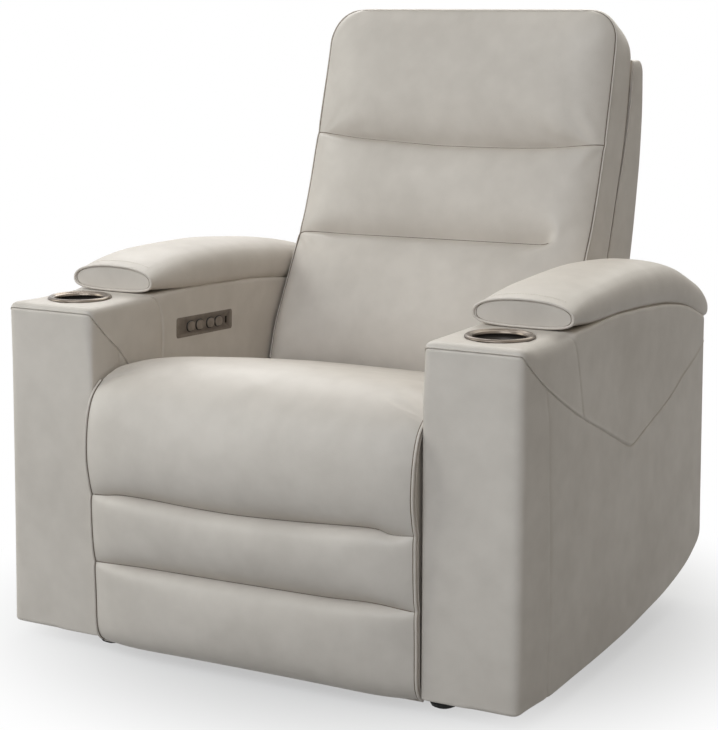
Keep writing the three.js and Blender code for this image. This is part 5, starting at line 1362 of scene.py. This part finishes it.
@dataclass
class ArmCover:
    """One arm's leather: front, outer, inner and top panels sewn into one cover."""

    shop: Workshop
    side: Side
    inner: float = 309.0
    outer: float = 482.5
    length: float = 811.0
    front_radius: float = 14.0
    rear_radius: float = 9.0
    bottom_radius: float = 6.0
    inner_corner: float = 3.0
    outer_corner: float = 14.0
    left_corner: float = 15.0
    left_taper: float = 6.0
    front_crown: float = 13.0
    lean_rounds: int = 5
    crown_radius: float = 25.0
    covered_radius: float = 9.0
    side_radius: float = 16.0
    side_fine: float = 4.0
    crown_side: tuple[float, float] = (-20.0, 60.0)
    crown_depth: tuple[float, float] = (10.0, 60.0)
    covered_depth: tuple[float, float] = (205.0, 160.0)
    top_edge: tuple[float, float] = (500.0, 575.0)
    left_corner_depth: tuple[float, float] = (110.0, 50.0)
    left_flare_depth: tuple[float, float] = (20.0, 130.0)
    left_taper_depth: tuple[float, float] = (105.0, 0.0)
    column_lean: tuple[float, float] = (0.8, 1.0)
    front_column: float = 95.0
    upper_column: float = 195.0
    flare: float = 6.0
    right_flare: float = 12.5
    fullness: float = 3.0
    pitch: float = 13.0
    fine: float = 2.6
    low_rows: int = 42
    high_rows: int = 22
    row_crowding: float = 0.78
    groove: float = 2.6
    column_groove_share: float = 0.8
    ridge: float = 0.9
    cup_centre: tuple[float, float] = (396.7, 89.0)
    cup_hole: float = 49.0
    cup_turn: float = 14.0
    plate_inset: float = 5.0
    plate_margin: float = 20.0
    stitch_row: int = 3
    stitch_proud: float = 0.4
    top_line: Points = ((0, 597), (300, 597), (437, 590), (580, 578), (666, 566), (737, 552), (811, 529))
    bottom_line: Points = (
        (0, 26), (60, 28.5), (150, 31), (295, 32.5), (411, 36), (549, 47), (599, 51.5), (661, 61),
        (731, 77), (770, 93), (799, 112), (811, 146),
    )
    outer_seam: Points = (
        (0, 588), (8, 580), (22.7, 567), (67.4, 533), (120.4, 502), (195.4, 464), (313.7, 413), (405, 373),
        (428, 365), (444, 367.5), (475, 377), (616, 414), (683.5, 441), (753, 464), (811, 487),
    )
    inner_seam: Points = (
        (0, 588), (8, 579), (24, 564), (44, 544), (65, 527), (81, 515), (101, 491), (140, 452), (240, 410),
        (427, 363), (562, 399), (666, 432), (755, 468), (811, 492),
    )
    outer_column: Points = (
        (367, 247), (471, 215), (493, 210), (535, 199), (568, 189), (594, 175), (602, 173),
    )
    inner_column: Points = ((367, 204), (481, 208), (532, 210), (575, 201), (601, 173))
    lower_column: Points = (
        (30, 92), (94, 92), (126, 95), (191, 95), (287, 93), (383, 89), (470, 86), (510, 78), (545, 74),
        (600, 72),
    )

    def build(self) -> None:
        """Builds the cover with its seams pressed in, and its topstitching."""
        middle = (self.inner + self.outer) / 2
        half = (self.outer - self.inner) / 2
        side_stops = [-half, -half + self.side_radius, 0, half - self.side_radius, half]
        across, _ = graded(side_stops, self.pitch, self.side_fine)
        rear_turn = self.length - self.rear_radius
        deep_stops = [0, self.front_radius, self.front_column, self.upper_column, rear_turn, self.length]
        deep, marks = graded(deep_stops, self.pitch, self.fine)
        levels = np.concatenate([self._even(0, self.low_rows), self._even(1, self.high_rows)[1:]])
        even_y, x, lv = np.meshgrid(deep, across, levels, indexing="ij")
        side_share = np.clip(x / half, -1, 1) * 0.5 + 0.5
        y = even_y
        for _ in range(self.lean_rounds):
            top = smooth_function(self.top_line)(y) + pad_rise(self.side, y)
            low = smooth_function(self.bottom_line)(y)
            outer, inner = (self._seam(pairs, y) for pairs in (self.outer_seam, self.inner_seam))
            seam = outer * side_share + inner * (1 - side_share)
            z = np.where(lv <= 1, low + (seam - low) * lv, seam + (top - seam) * (lv - 1))
            y = self._lean_columns(even_y, z, lv, side_share, deep[marks])
        boxed = self._round(np.stack([x, y, z], -1), half, top, low)
        lattice = Lattice(boxed)
        skin = on_side(lattice.skin_points, self.side, middle)
        word = self.side.word
        cover = new_piece(f"arm_cover_{word}", self.shop.place.points(skin), lattice.faces())
        index, row = lattice.index, self.low_rows
        long_seams = [index[:, 0, row], index[:, -1, row], index[0, :, row]]
        columns = [index[marks[2], side, : row + 1] for side in (0, -1)]
        columns += [index[marks[3], side, row:] for side in (0, -1)]
        ridges = [
            line for k in (row + 1, row + 2) for line in (index[:, 0, k], index[:, -1, k], index[0, :, k])
        ]
        self._press(cover, ridges, long_seams, columns)
        for line in (*long_seams, *columns):
            sharpen(cover, line)
        self._open_cup(cover)
        if self.side is Side.RIGHT:
            self._open_controls(cover)
        refine(cover)
        self.shop.book.dress(cover, Surface.LEATHER)
        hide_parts(*(f"arm_{panel}_panel_{word}" for panel in ("front", "outer", "inner", "top")))
        self.shop.carry(cover, "leather", "base")
        path = on_side(boxed[0, 1:-1, row + self.stitch_row] - (0, self.stitch_proud, 0), self.side, middle)
        self.shop.stitches(f"arm_topstitch_{word}", self.shop.place.points(path), "base")
        LOG.info("arm cover %s: %d faces", word, len(cover.data.polygons))

    def _even(self, low: float, count: int) -> np.ndarray:
        """Levels from one seam to the next, closer together beside each."""
        t = np.linspace(0, 1, count + 1)
        return low + (t - self.row_crowding * np.sin(2 * math.pi * t) / (2 * math.pi))

    @staticmethod
    def _seam(pairs: Points, depth: np.ndarray) -> np.ndarray:
        """Height of a seam at each depth."""
        line = Outline(pairs).line
        return np.interp(depth, line[:, 0], line[:, 1])

    def _lean_columns(
        self, y: np.ndarray, z: np.ndarray, lv: np.ndarray, side_share: np.ndarray, places: np.ndarray,
    ) -> np.ndarray:
        """Leans the columns so that the two upright seams fall on them."""
        outer = smooth_function(self.outer_column)(z)
        upper = outer * side_share + smooth_function(self.inner_column)(z) * (1 - side_share)
        lower = smooth_function(self.lower_column)(z)
        stops = places[1:5]
        shift_low = np.interp(y, stops, [0, 1, 0, 0]) * (lower - stops[1])
        shift_high = np.interp(y, stops, [0, 0, 1, 0]) * (upper - stops[2]) * fade(lv, *self.column_lean)
        return y + shift_low + shift_high

    def _round(self, points: np.ndarray, half: float, top: np.ndarray, low: np.ndarray) -> np.ndarray:
        """Rounds the edges of the box of points, then gives its outer side its flare and fullness."""
        x, y, z = np.moveaxis(points, -1, 0)
        left = self.side is Side.LEFT
        turn = fade(x, *self.crown_side) * fade(y, *self.crown_depth)
        crown = self.front_crown + (self.crown_radius - self.front_crown) * turn
        crown = self.covered_radius + (crown - self.covered_radius) * fade(y, *self.covered_depth)
        near_top = fade(z, *self.top_edge)
        inner = self.inner_corner + (crown - self.inner_corner) * near_top
        corner = self.outer_corner
        if left:
            corner = corner + (self.left_corner - corner) * fade(y, *self.left_corner_depth)
        outer = corner + (crown - corner) * near_top
        front = np.minimum(np.where(x < 0, inner, outer), self.front_radius)
        even = np.ones(top.shape)
        lows = np.stack([-half * even, 0 * even, low], -1)
        highs = np.stack([half * even, self.length * even, top], -1)
        radius_low = np.stack([inner, front, self.bottom_radius * even], -1)
        radius_high = np.stack([outer, self.rear_radius * even, crown], -1)
        core = np.minimum(np.maximum(points, lows + radius_low), highs - radius_high)
        gap = points - core
        radius = np.where(gap < 0, radius_low, radius_high)
        shaped = gap / radius
        length = np.linalg.norm(shaped, axis=-1, keepdims=True)
        largest = np.abs(shaped).max(-1, keepdims=True)
        moved = core + radius * shaped / np.maximum(length, 1e-9) * largest
        out = np.where(length > 1e-6, moved, points)
        rise = np.clip((z - low) / (top - low), 0, 1)
        bulge = np.sin(math.pi * rise) * np.sin(math.pi * np.clip(y / self.length, 0, 1)) ** 0.5
        flare = self.flare * fade(y, *self.left_flare_depth) if left else self.right_flare
        taper = self.left_taper * fade(y, *self.left_taper_depth) if left else 0.0
        out[..., 0] += np.clip(x / half, 0, 1) * (flare * (1 - rise) ** 1.5 + self.fullness * bulge - taper)
        return out

    def _press(
        self, cover: bpy.types.Object, ridges: Sequence[np.ndarray], seams: Sequence[np.ndarray],
        columns: Sequence[np.ndarray],
    ) -> None:
        """Presses the seams into the leather along its normals, with a low ridge above the long ones."""
        mesh = cover.data
        depth = np.zeros(len(mesh.vertices))
        column_groove = self.groove * self.column_groove_share
        for amount, lines in ((-self.ridge, ridges), (column_groove, columns), (self.groove, seams)):
            for line in lines:
                depth[line] = amount
        normals, places = np.empty((2, len(mesh.vertices) * 3))
        mesh.vertex_normals.foreach_get("vector", normals)
        mesh.vertices.foreach_get("co", places)
        mesh.vertices.foreach_set("co", places - normals * np.repeat(depth, 3) * MM)
        mesh.update()

    def _open_cup(self, cover: bpy.types.Object) -> None:
        """Cuts the round hole for the cup holder and turns its edge down."""
        centre = self.shop.place.point(self.cup_centre[0] * self.side.value, self.cup_centre[1], 0).xy
        radius = self.cup_hole * MM
        work = bmesh.new()
        work.from_mesh(cover.data)
        gone = [
            f for f in work.faces
            if f.normal.z > 0.7 and all((v.co.xy - centre).length < radius for v in f.verts)
        ]
        bmesh.ops.delete(work, geom=gone, context="FACES")
        rim = [e for e in work.edges if e.is_boundary]
        for vertex in {v for e in rim for v in e.verts}:
            vertex.co.xy = centre + (vertex.co.xy - centre).normalized() * radius
        made = bmesh.ops.extrude_edge_only(work, edges=rim)
        for vertex in (v for v in made["geom"] if isinstance(v, bmesh.types.BMVert)):
            vertex.co.z -= self.cup_turn * MM
        bmesh.ops.recalc_face_normals(work, faces=work.faces)
        work.to_mesh(cover.data)
        work.free()
        cover.data.polygons.foreach_set("use_smooth", [True] * len(cover.data.polygons))

    def _open_controls(self, cover: bpy.types.Object) -> None:
        """Cuts the opening behind the control plate."""
        low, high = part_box("control_plate")
        inset, margin = self.plate_inset * MM, self.plate_margin * MM
        work = bmesh.new()
        work.from_mesh(cover.data)

        def faces(spare_y: float, spare_z: float) -> list:
            """Faces of the inner side within the plate's outline, widened by a spare width."""
            spots = [(f, f.calc_center_median()) for f in work.faces]
            return [
                f for f, spot in spots
                if abs(spot.x + self.inner * MM) < 1.5 * MM
                and low.y - spare_y < spot.y < high.y + spare_y
                and low.z - spare_z < spot.z < high.z + spare_z
            ]

        cuts = (
            ((0, low.y + inset, 0), (0, 1, 0)), ((0, high.y - inset, 0), (0, 1, 0)),
            ((0, 0, low.z + 2 * inset), (0, 0, 1)), ((0, 0, high.z - 2 * inset), (0, 0, 1)),
        )
        for point, direction in cuts:
            near = faces(margin, margin)
            geometry = {*near, *(e for f in near for e in f.edges), *(v for f in near for v in f.verts)}
            bmesh.ops.bisect_plane(work, geom=list(geometry), plane_co=point, plane_no=direction)
        bmesh.ops.delete(work, geom=faces(-inset, -2 * inset), context="FACES")
        work.to_mesh(cover.data)
        work.free()


@dataclass
class ArmPad:
    """The padded rest on an arm, with its sewn oval front."""

    shop: Workshop
    side: Side
    centre: float = 396.5
    half_width: float = 85.5
    right_shift: float = 7.5
    right_return: float = 5.5
    return_depth: tuple[float, float] = (360.0, 560.0)
    right_front_share: float = 0.96
    right_front_reach: float = 120.0
    end_width_share: float = 0.94
    end_height_share: float = 0.3
    front: float = 175.0
    rear: float = 836.0
    front_stop: float = 40.0
    rear_stop: float = 60.0
    shape_change: float = 160.0
    end_radius: float = 36.0
    columns: int = 26
    crowding: float = 0.9
    rows: int = 11
    pitch: float = 11.0
    fine: float = 4.0
    top_power: float = 2.7
    front_power: float = 2.2
    base_power: float = 7.0
    front_base_power: float = 3.2
    widest_share: float = 0.42
    top_line: Points = (
        (175, 643), (200, 651), (245, 658.5), (298, 662), (448, 660), (567, 650), (650, 641), (737, 626),
        (790, 611), (836, 582),
    )
    left_top: Points = (
        (175, 0), (240, -3), (300, -4), (392, 0), (509, 5), (617, 8.5), (690, 5), (740, -2), (780, -6),
        (836, -4),
    )
    base_line: Points = (
        (175, 600), (215, 597), (281, 593), (435, 585), (580, 573), (663, 561), (726, 547), (792, 525),
        (815, 518), (836, 514),
    )

    def build(self) -> None:
        """Builds the pad, its front welt and its stitching."""
        stops = [self.front, self.front + self.front_stop, self.rear - self.rear_stop, self.rear]
        depth, _ = graded(stops, self.pitch, self.fine)
        across = crowded(self.columns, self.crowding)
        y, a, b = np.meshgrid(depth, across, np.linspace(-1, 1, self.rows), indexing="ij")
        change = fade(y, self.front, self.front + self.shape_change)
        upper_power = self.front_power + (self.top_power - self.front_power) * change
        under_power = self.front_base_power + (self.base_power - self.front_base_power) * change
        power = np.where(b > 0, upper_power, under_power)
        length = (np.abs(a) ** power + np.abs(b) ** power) ** (1 / power)
        scale = np.where(length > 1e-6, np.maximum(np.abs(a), np.abs(b)) / np.maximum(length, 1e-9), 1)
        top = smooth_function(self.top_line)(y)
        if self.side is Side.LEFT:
            top += smooth_function(self.left_top)(y)
        base = smooth_function(self.base_line)(y) + pad_rise(self.side, y)
        past = np.clip((y - (self.rear - self.end_radius)) / self.end_radius, 0, 1)
        close = np.sqrt(np.maximum(1 - past**2, 0))
        middle = base + (top - base) * self.widest_share
        wide, tall, narrow = self.end_width_share, self.end_height_share, self.right_front_share
        reach = np.where(b > 0, top - middle, middle - base) * (tall + (1 - tall) * close)
        x = a * scale * self.half_width * (wide + (1 - wide) * close)
        if self.side is Side.RIGHT:
            x *= narrow + (1 - narrow) * roll(y - self.front, self.right_front_reach, 2.0)
            x += self.right_return * fade(y, *self.return_depth)
        centre = self.centre - (self.right_shift if self.side is Side.RIGHT else 0.0)
        points = np.stack([x, y, middle + b * scale * reach], -1)
        lattice = Lattice(points)
        index = lattice.index
        word = self.side.word
        pad = self.shop.stuffed(
            f"arm_pad_cover_{word}", on_side(lattice.skin_points, self.side, centre), lattice,
            [index[0], index[-1], index[:, :, 0]], [], Swelling(cap=7.0, kept=0.6, pressure=3.0),
        )
        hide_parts(f"arm_pad_{word}")
        self.shop.carry(pad, "leather", "base")
        self._trim(pad, on_side(points, self.side, centre))

    def _trim(self, pad: bpy.types.Object, points: np.ndarray) -> None:
        """Sews the oval welt round the front face with a dark ring of painted seam shade inside it, and the
        stitches behind it.
        """
        face = points[0]
        ring = np.vstack([face[:, -1], face[-1, -2:0:-1], face[::-1, 0], face[0, 1:-1]])
        middle = ring.mean(0)
        # The seam ring is a dark cord of painted shade inside the welt.
        for word, share, shift, radius, surface in (
            ("welt", 1.0, -0.8, 2.2, Surface.WELT), ("seam", 0.945, 0.3, 0.7, Surface.SEAM),
        ):
            line = middle + (ring - middle) * share + (0, shift, 0)
            self.shop.seam(f"arm_pad_{word}_{self.side.word}", line, radius, surface, "base", closed=True)
        arch = laid_on(pad, self.shop.place.points(points[2, :, -1]), THREAD_LIFT)
        self.shop.stitches(f"arm_pad_stitch_{self.side.word}", arch, "base")


@dataclass
class CupHolder:
    """A turned cup holder: a rolled rim, a stepped ring and a deep well."""

    shop: Workshop
    side: Side
    centre: tuple[float, float] = (396.7, 89.0)
    rim_radius: float = 55.0
    well_radius: float = 42.5
    top: float = 601.6
    floor: float = 528.0
    axis: float = 0.01

    def build(self) -> None:
        """Turns the rim and the well."""
        rim, well, top, floor = self.rim_radius, self.well_radius, self.top, self.floor
        ring = (
            (well - 0.6, top - 9), (well + 0.3, top - 4.0), (well + 1.6, top - 2.6), (well + 3.4, top - 2.4),
            (well + 4.4, top - 1.4), (well + 6.0, top - 0.2), (well + 8.2, top + 0.3), (rim - 2.4, top - 0.5),
            (rim - 0.6, top - 2.0), (rim, top - 3.6), (rim - 0.5, top - 5.2), (rim - 3, top - 6),
            (well + 2, top - 8), (well - 0.6, top - 9),
        )
        cup = (
            (self.axis, floor), (well - 9, floor), (well - 4, floor + 1.6), (well - 2, floor + 6),
            (well - 0.4, top - 6), (well + 1.4, top - 6), (well + 1.2, floor + 2), (well - 3, floor - 1.6),
            (self.axis, floor - 1.6),
        )
        word = self.side.word
        spot = (self.centre[0] * self.side.value, self.centre[1])
        for part, profile, surface in (("rim", ring, Surface.BRONZE), ("well", cup, Surface.WELL)):
            piece = lathe(f"cup_{part}_{word}", profile, spot, self.shop.place)
            self.shop.book.dress(piece, surface)
            if part == "rim":
                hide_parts(f"cup_holder_{word}")
            self.shop.carry(piece, "bronze", "base")
            refine(piece)


@dataclass
class RearDustAndShadeCloth:
    """A black dust cloth that closes the rear of the base between the arms, and also painted shade: it
    darkens what shows through the gap beside the footrest.
    """

    shop: Workshop
    half_width: float = 309.0
    depth: float = 782.0
    bottom: float = 116.0
    top: float = 282.0
    columns: int = 60
    rows: int = 18
    ripple: float = 2.2
    ripple_length: float = 37.0
    ripple_lean: float = 1.3

    def build(self) -> None:
        """Builds the slightly rippled cloth."""
        across = np.linspace(-self.half_width, self.half_width, self.columns + 1)
        levels = np.linspace(self.bottom, self.top, self.rows + 1)
        x, z = np.meshgrid(across, levels, indexing="ij")
        rise = (z - self.bottom) / (self.top - self.bottom)
        wave = np.sin(x / self.ripple_length + self.ripple_lean * rise) * np.sin(math.pi * rise)
        points = self.shop.place.points(np.stack([x, self.depth + self.ripple * wave, z], -1).reshape(-1, 3))
        # The black cloth also stands in, as painted shade, for the shade seen through the gap beside the
        # footrest.
        cloth = new_piece("rear_dust_and_shade_cloth", points, grid_faces(self.columns + 1, self.rows + 1))
        self.shop.book.dress(cloth, Surface.LINING)
        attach(cloth, "base")


# Trim, metal and stage


@dataclass
class ButtonGapShade:
    """Painted shade in the gap round each button of the control plate: thin black rings."""

    shop: Workshop
    gap_radius: float = 0.75
    proud: float = 0.4
    steps: int = 40
    roundness: float = 0.8
    buttons: int = 4

    def build(self) -> None:
        """Lays one black ring of painted shade round every button."""
        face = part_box("control_plate")[1].x + self.proud * MM
        rings = [self._oval(face, *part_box(f"button_{number}")) for number in range(1, self.buttons + 1)]
        # Black plastic rings of painted shade stand in for the shaded gaps round the buttons.
        self.shop.cord(
            "button_gap_shade", rings, self.gap_radius, Surface.PLASTIC, "base", closed=True, slot="black_plastic",
        )

    def _oval(self, face: float, low: Vector, high: Vector) -> np.ndarray:
        """A rounded outline just outside a button, standing in the plate's face."""
        middle, half = (high + low) / 2, (high - low) / 2
        angles = np.linspace(0, 2 * math.pi, self.steps, endpoint=False)
        waves = [np.sign(wave) * np.abs(wave) ** self.roundness for wave in (np.cos(angles), np.sin(angles))]
        spare = self.gap_radius * MM
        y, z = middle.y + (half.y + spare) * waves[0], middle.z + (half.z + spare) * waves[1]
        return np.stack([np.full(self.steps, face), y, z], 1)


FINISH_BY_SLOT = {
    "leather": Surface.LEATHER,
    "dark_steel": Surface.DARK_STEEL,
    "zinc_steel": Surface.ZINC,
    "bronze": Surface.BRONZE,
    "black_plastic": Surface.PLASTIC,
    "rubber": Surface.RUBBER,
    "plywood": Surface.PLYWOOD,
}


def dress_nodes(frame: dict, book: FinishBook) -> None:
    """Paints every carried-over node by the slot that the record gives it, and every button in bronze.

    Args:
        book: the finishes.
    """
    slots = {part["node"]: part["material_slot"] for part in frame["record"]["subparts"]}
    for name, node in frame["nodes"].items():
        button = name.startswith("button_")
        material = book.material(Surface.BRONZE if button else FINISH_BY_SLOT[slots[name]])
        if not node.material_slots:
            node.data.materials.append(material)
        for held in node.material_slots:
            held.material = material
    LOG.info("dressed %d nodes", len(frame["nodes"]))


@dataclass(frozen=True)
class Lamp:
    """A square soft lamp: its place, the height of the point that it faces, its size, power and colour."""

    name: str
    place: Triple
    target_height: float
    size: float
    power: float
    colour: Triple

    def hang(self) -> None:
        """Hangs the lamp."""
        data = bpy.data.lights.new(self.name, "AREA")
        data.shape = "SQUARE"
        data.size = self.size
        data.energy = self.power
        data.color = self.colour
        aim(linked(self.name, data), self.place, Vector((0, 0, self.target_height)) - Vector(self.place))


def aim(thing: bpy.types.Object, place: Triple, ahead: Vector) -> None:
    """Puts a lamp or a camera in its place, looking along a direction."""
    thing.location = place
    thing.rotation_mode = "QUATERNION"
    thing.rotation_quaternion = ahead.to_track_quat("-Z", "Y")


@dataclass
class Studio:
    """The camera, the floor and the lights."""

    camera_place: Triple = (1.5630, -2.9296, 1.0988)
    yaw: float = 28.794
    dip: float = 10.975
    lens: float = 92.52
    surround_strength: float = 0.1
    surround_colour: tuple[float, ...] = (1.0, 0.965, 0.9, 1.0)
    floor_size: float = 14.0
    shadow_reach: tuple[float, float] = (0.40, 0.85)
    shadow_lift: float = 0.5
    floor_tone: float = 0.45
    floor_gloss: tuple[float, float] = (0.9, 0.1)
    lamps: tuple[Lamp, ...] = (
        Lamp("front_overhead", (0.3, -3.2, 2.8), 0.5, 2.6, 80.0, (0.87, 0.935, 1.0)),
        Lamp("right_side", (-3.0, -1.5, 2.0), 0.6, 2.0, 50.0, (0.98, 1.0, 0.95)),
        Lamp("rear_overhead", (0.2, 2.0, 2.6), 0.6, 2.2, 38.0, (1.0, 1.0, 0.92)),
        Lamp("rear_right", (-1.4, 1.4, 2.4), 0.5, 1.6, 29.0, (1.0, 1.0, 1.0)),
        Lamp("left_overhead", (2.6, -0.6, 2.8), 0.5, 2.0, 7.0, (1.0, 0.85, 0.6)),
    )

    def build(self) -> None:
        """Sets the scene."""
        scene = bpy.context.scene
        scene.view_settings.view_transform = "Standard"
        self._camera(scene)
        self._world(scene)
        self._floor()
        for lamp in self.lamps:
            lamp.hang()

    def _camera(self, scene: bpy.types.Scene) -> None:
        """Places the camera at the photograph's viewing angle."""
        data = bpy.data.cameras.new("camera")
        data.lens = self.lens
        data.sensor_width = 36.0
        scene.camera = linked("camera", data)
        yaw, dip = math.radians(self.yaw), math.radians(self.dip)
        ahead = Vector((-math.sin(yaw) * math.cos(dip), math.cos(yaw) * math.cos(dip), -math.sin(dip)))
        aim(scene.camera, self.camera_place, ahead)

    def _world(self, scene: bpy.types.Scene) -> None:
        """A soft surround that the camera, glass and gloss see as white."""
        scene.world = bpy.data.worlds.new("studio")
        scene.world.use_nodes = True
        tree = scene.world.node_tree
        tree.nodes.clear()
        nodes = {
            **SEEN_NODES,
            "soft": ("ShaderNodeBackground", {}, {
                "Color": self.surround_colour, "Strength": self.surround_strength,
            }),
            "white": ("ShaderNodeBackground", {}, {"Color": (1, 1, 1, 1), "Strength": 1.0}),
            "out": ("ShaderNodeOutputWorld",),
        }
        wire(tree, nodes, (
            *SEEN_LINKS, "seen.0 > mix.0", "soft.0 > mix.1", "white.0 > mix.2", "mix.0 > out.Surface",
        ))

    def _floor(self) -> None:
        """Lays a plain white floor that still takes the seat's shadow."""
        half = self.floor_size / 2
        corners = [(-half, -half, 0), (half, -half, 0), (half, half, 0), (-half, half, 0)]
        mesh = bpy.data.meshes.new("floor")
        mesh.from_pydata(corners, [], [(0, 1, 2, 3)])
        material = bpy.data.materials.new("floor_white")
        material.use_nodes = True
        shader = material.node_tree.nodes["Principled BSDF"]
        shader.inputs["Base Color"].default_value = (*[self.floor_tone] * 3, 1)
        for label, value in zip(("Roughness", "Specular IOR Level"), self.floor_gloss):
            shader.inputs[label].default_value = value
        nodes = {
            **SEEN_NODES,
            "glow": ("ShaderNodeEmission", {}, {"Color": (1, 1, 1, 1), "Strength": 1.0}),
            "where": ("ShaderNodeTexCoord",),
            "away": ("ShaderNodeVectorMath", {"operation": "LENGTH"}),
            "ring": (RANGE, {"interpolation_type": "SMOOTHSTEP"}, {
                "From Min": self.shadow_reach[0], "From Max": self.shadow_reach[1],
                "To Min": self.shadow_lift,
            }),
            "share": maths("MULTIPLY"),
        }
        wire(material.node_tree, nodes, (
            *SEEN_LINKS, "where.Object > away.0", "away.Value > ring.Value", "ring.Result > share.0",
            "seen.0 > share.1", "share.0 > mix.0", "Principled BSDF.0 > mix.1", "glow.0 > mix.2",
            "mix.0 > Material Output.Surface",
        ))
        mesh.materials.append(material)
        linked("floor", mesh)


def main() -> None:
    """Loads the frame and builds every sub-assembly."""
    logging.basicConfig(level=logging.INFO, format="%(name)s: %(message)s")
    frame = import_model()
    Studio().build()
    place = Place(front=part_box("arm_front_panel_left")[0].y)
    book = FinishBook()
    shop = Workshop(place, book)
    dress_nodes(frame, book)
    for part in (ChaisePad, BackCushion, BackShell):
        part(shop).build()
    for side in Side:
        for part in (ArmCover, ArmPad, CupHolder):
            part(shop, side).build()
    ButtonGapShade(shop).build()
    RearDustAndShadeCloth(shop).build()


if __name__ == "__main__":
    main()
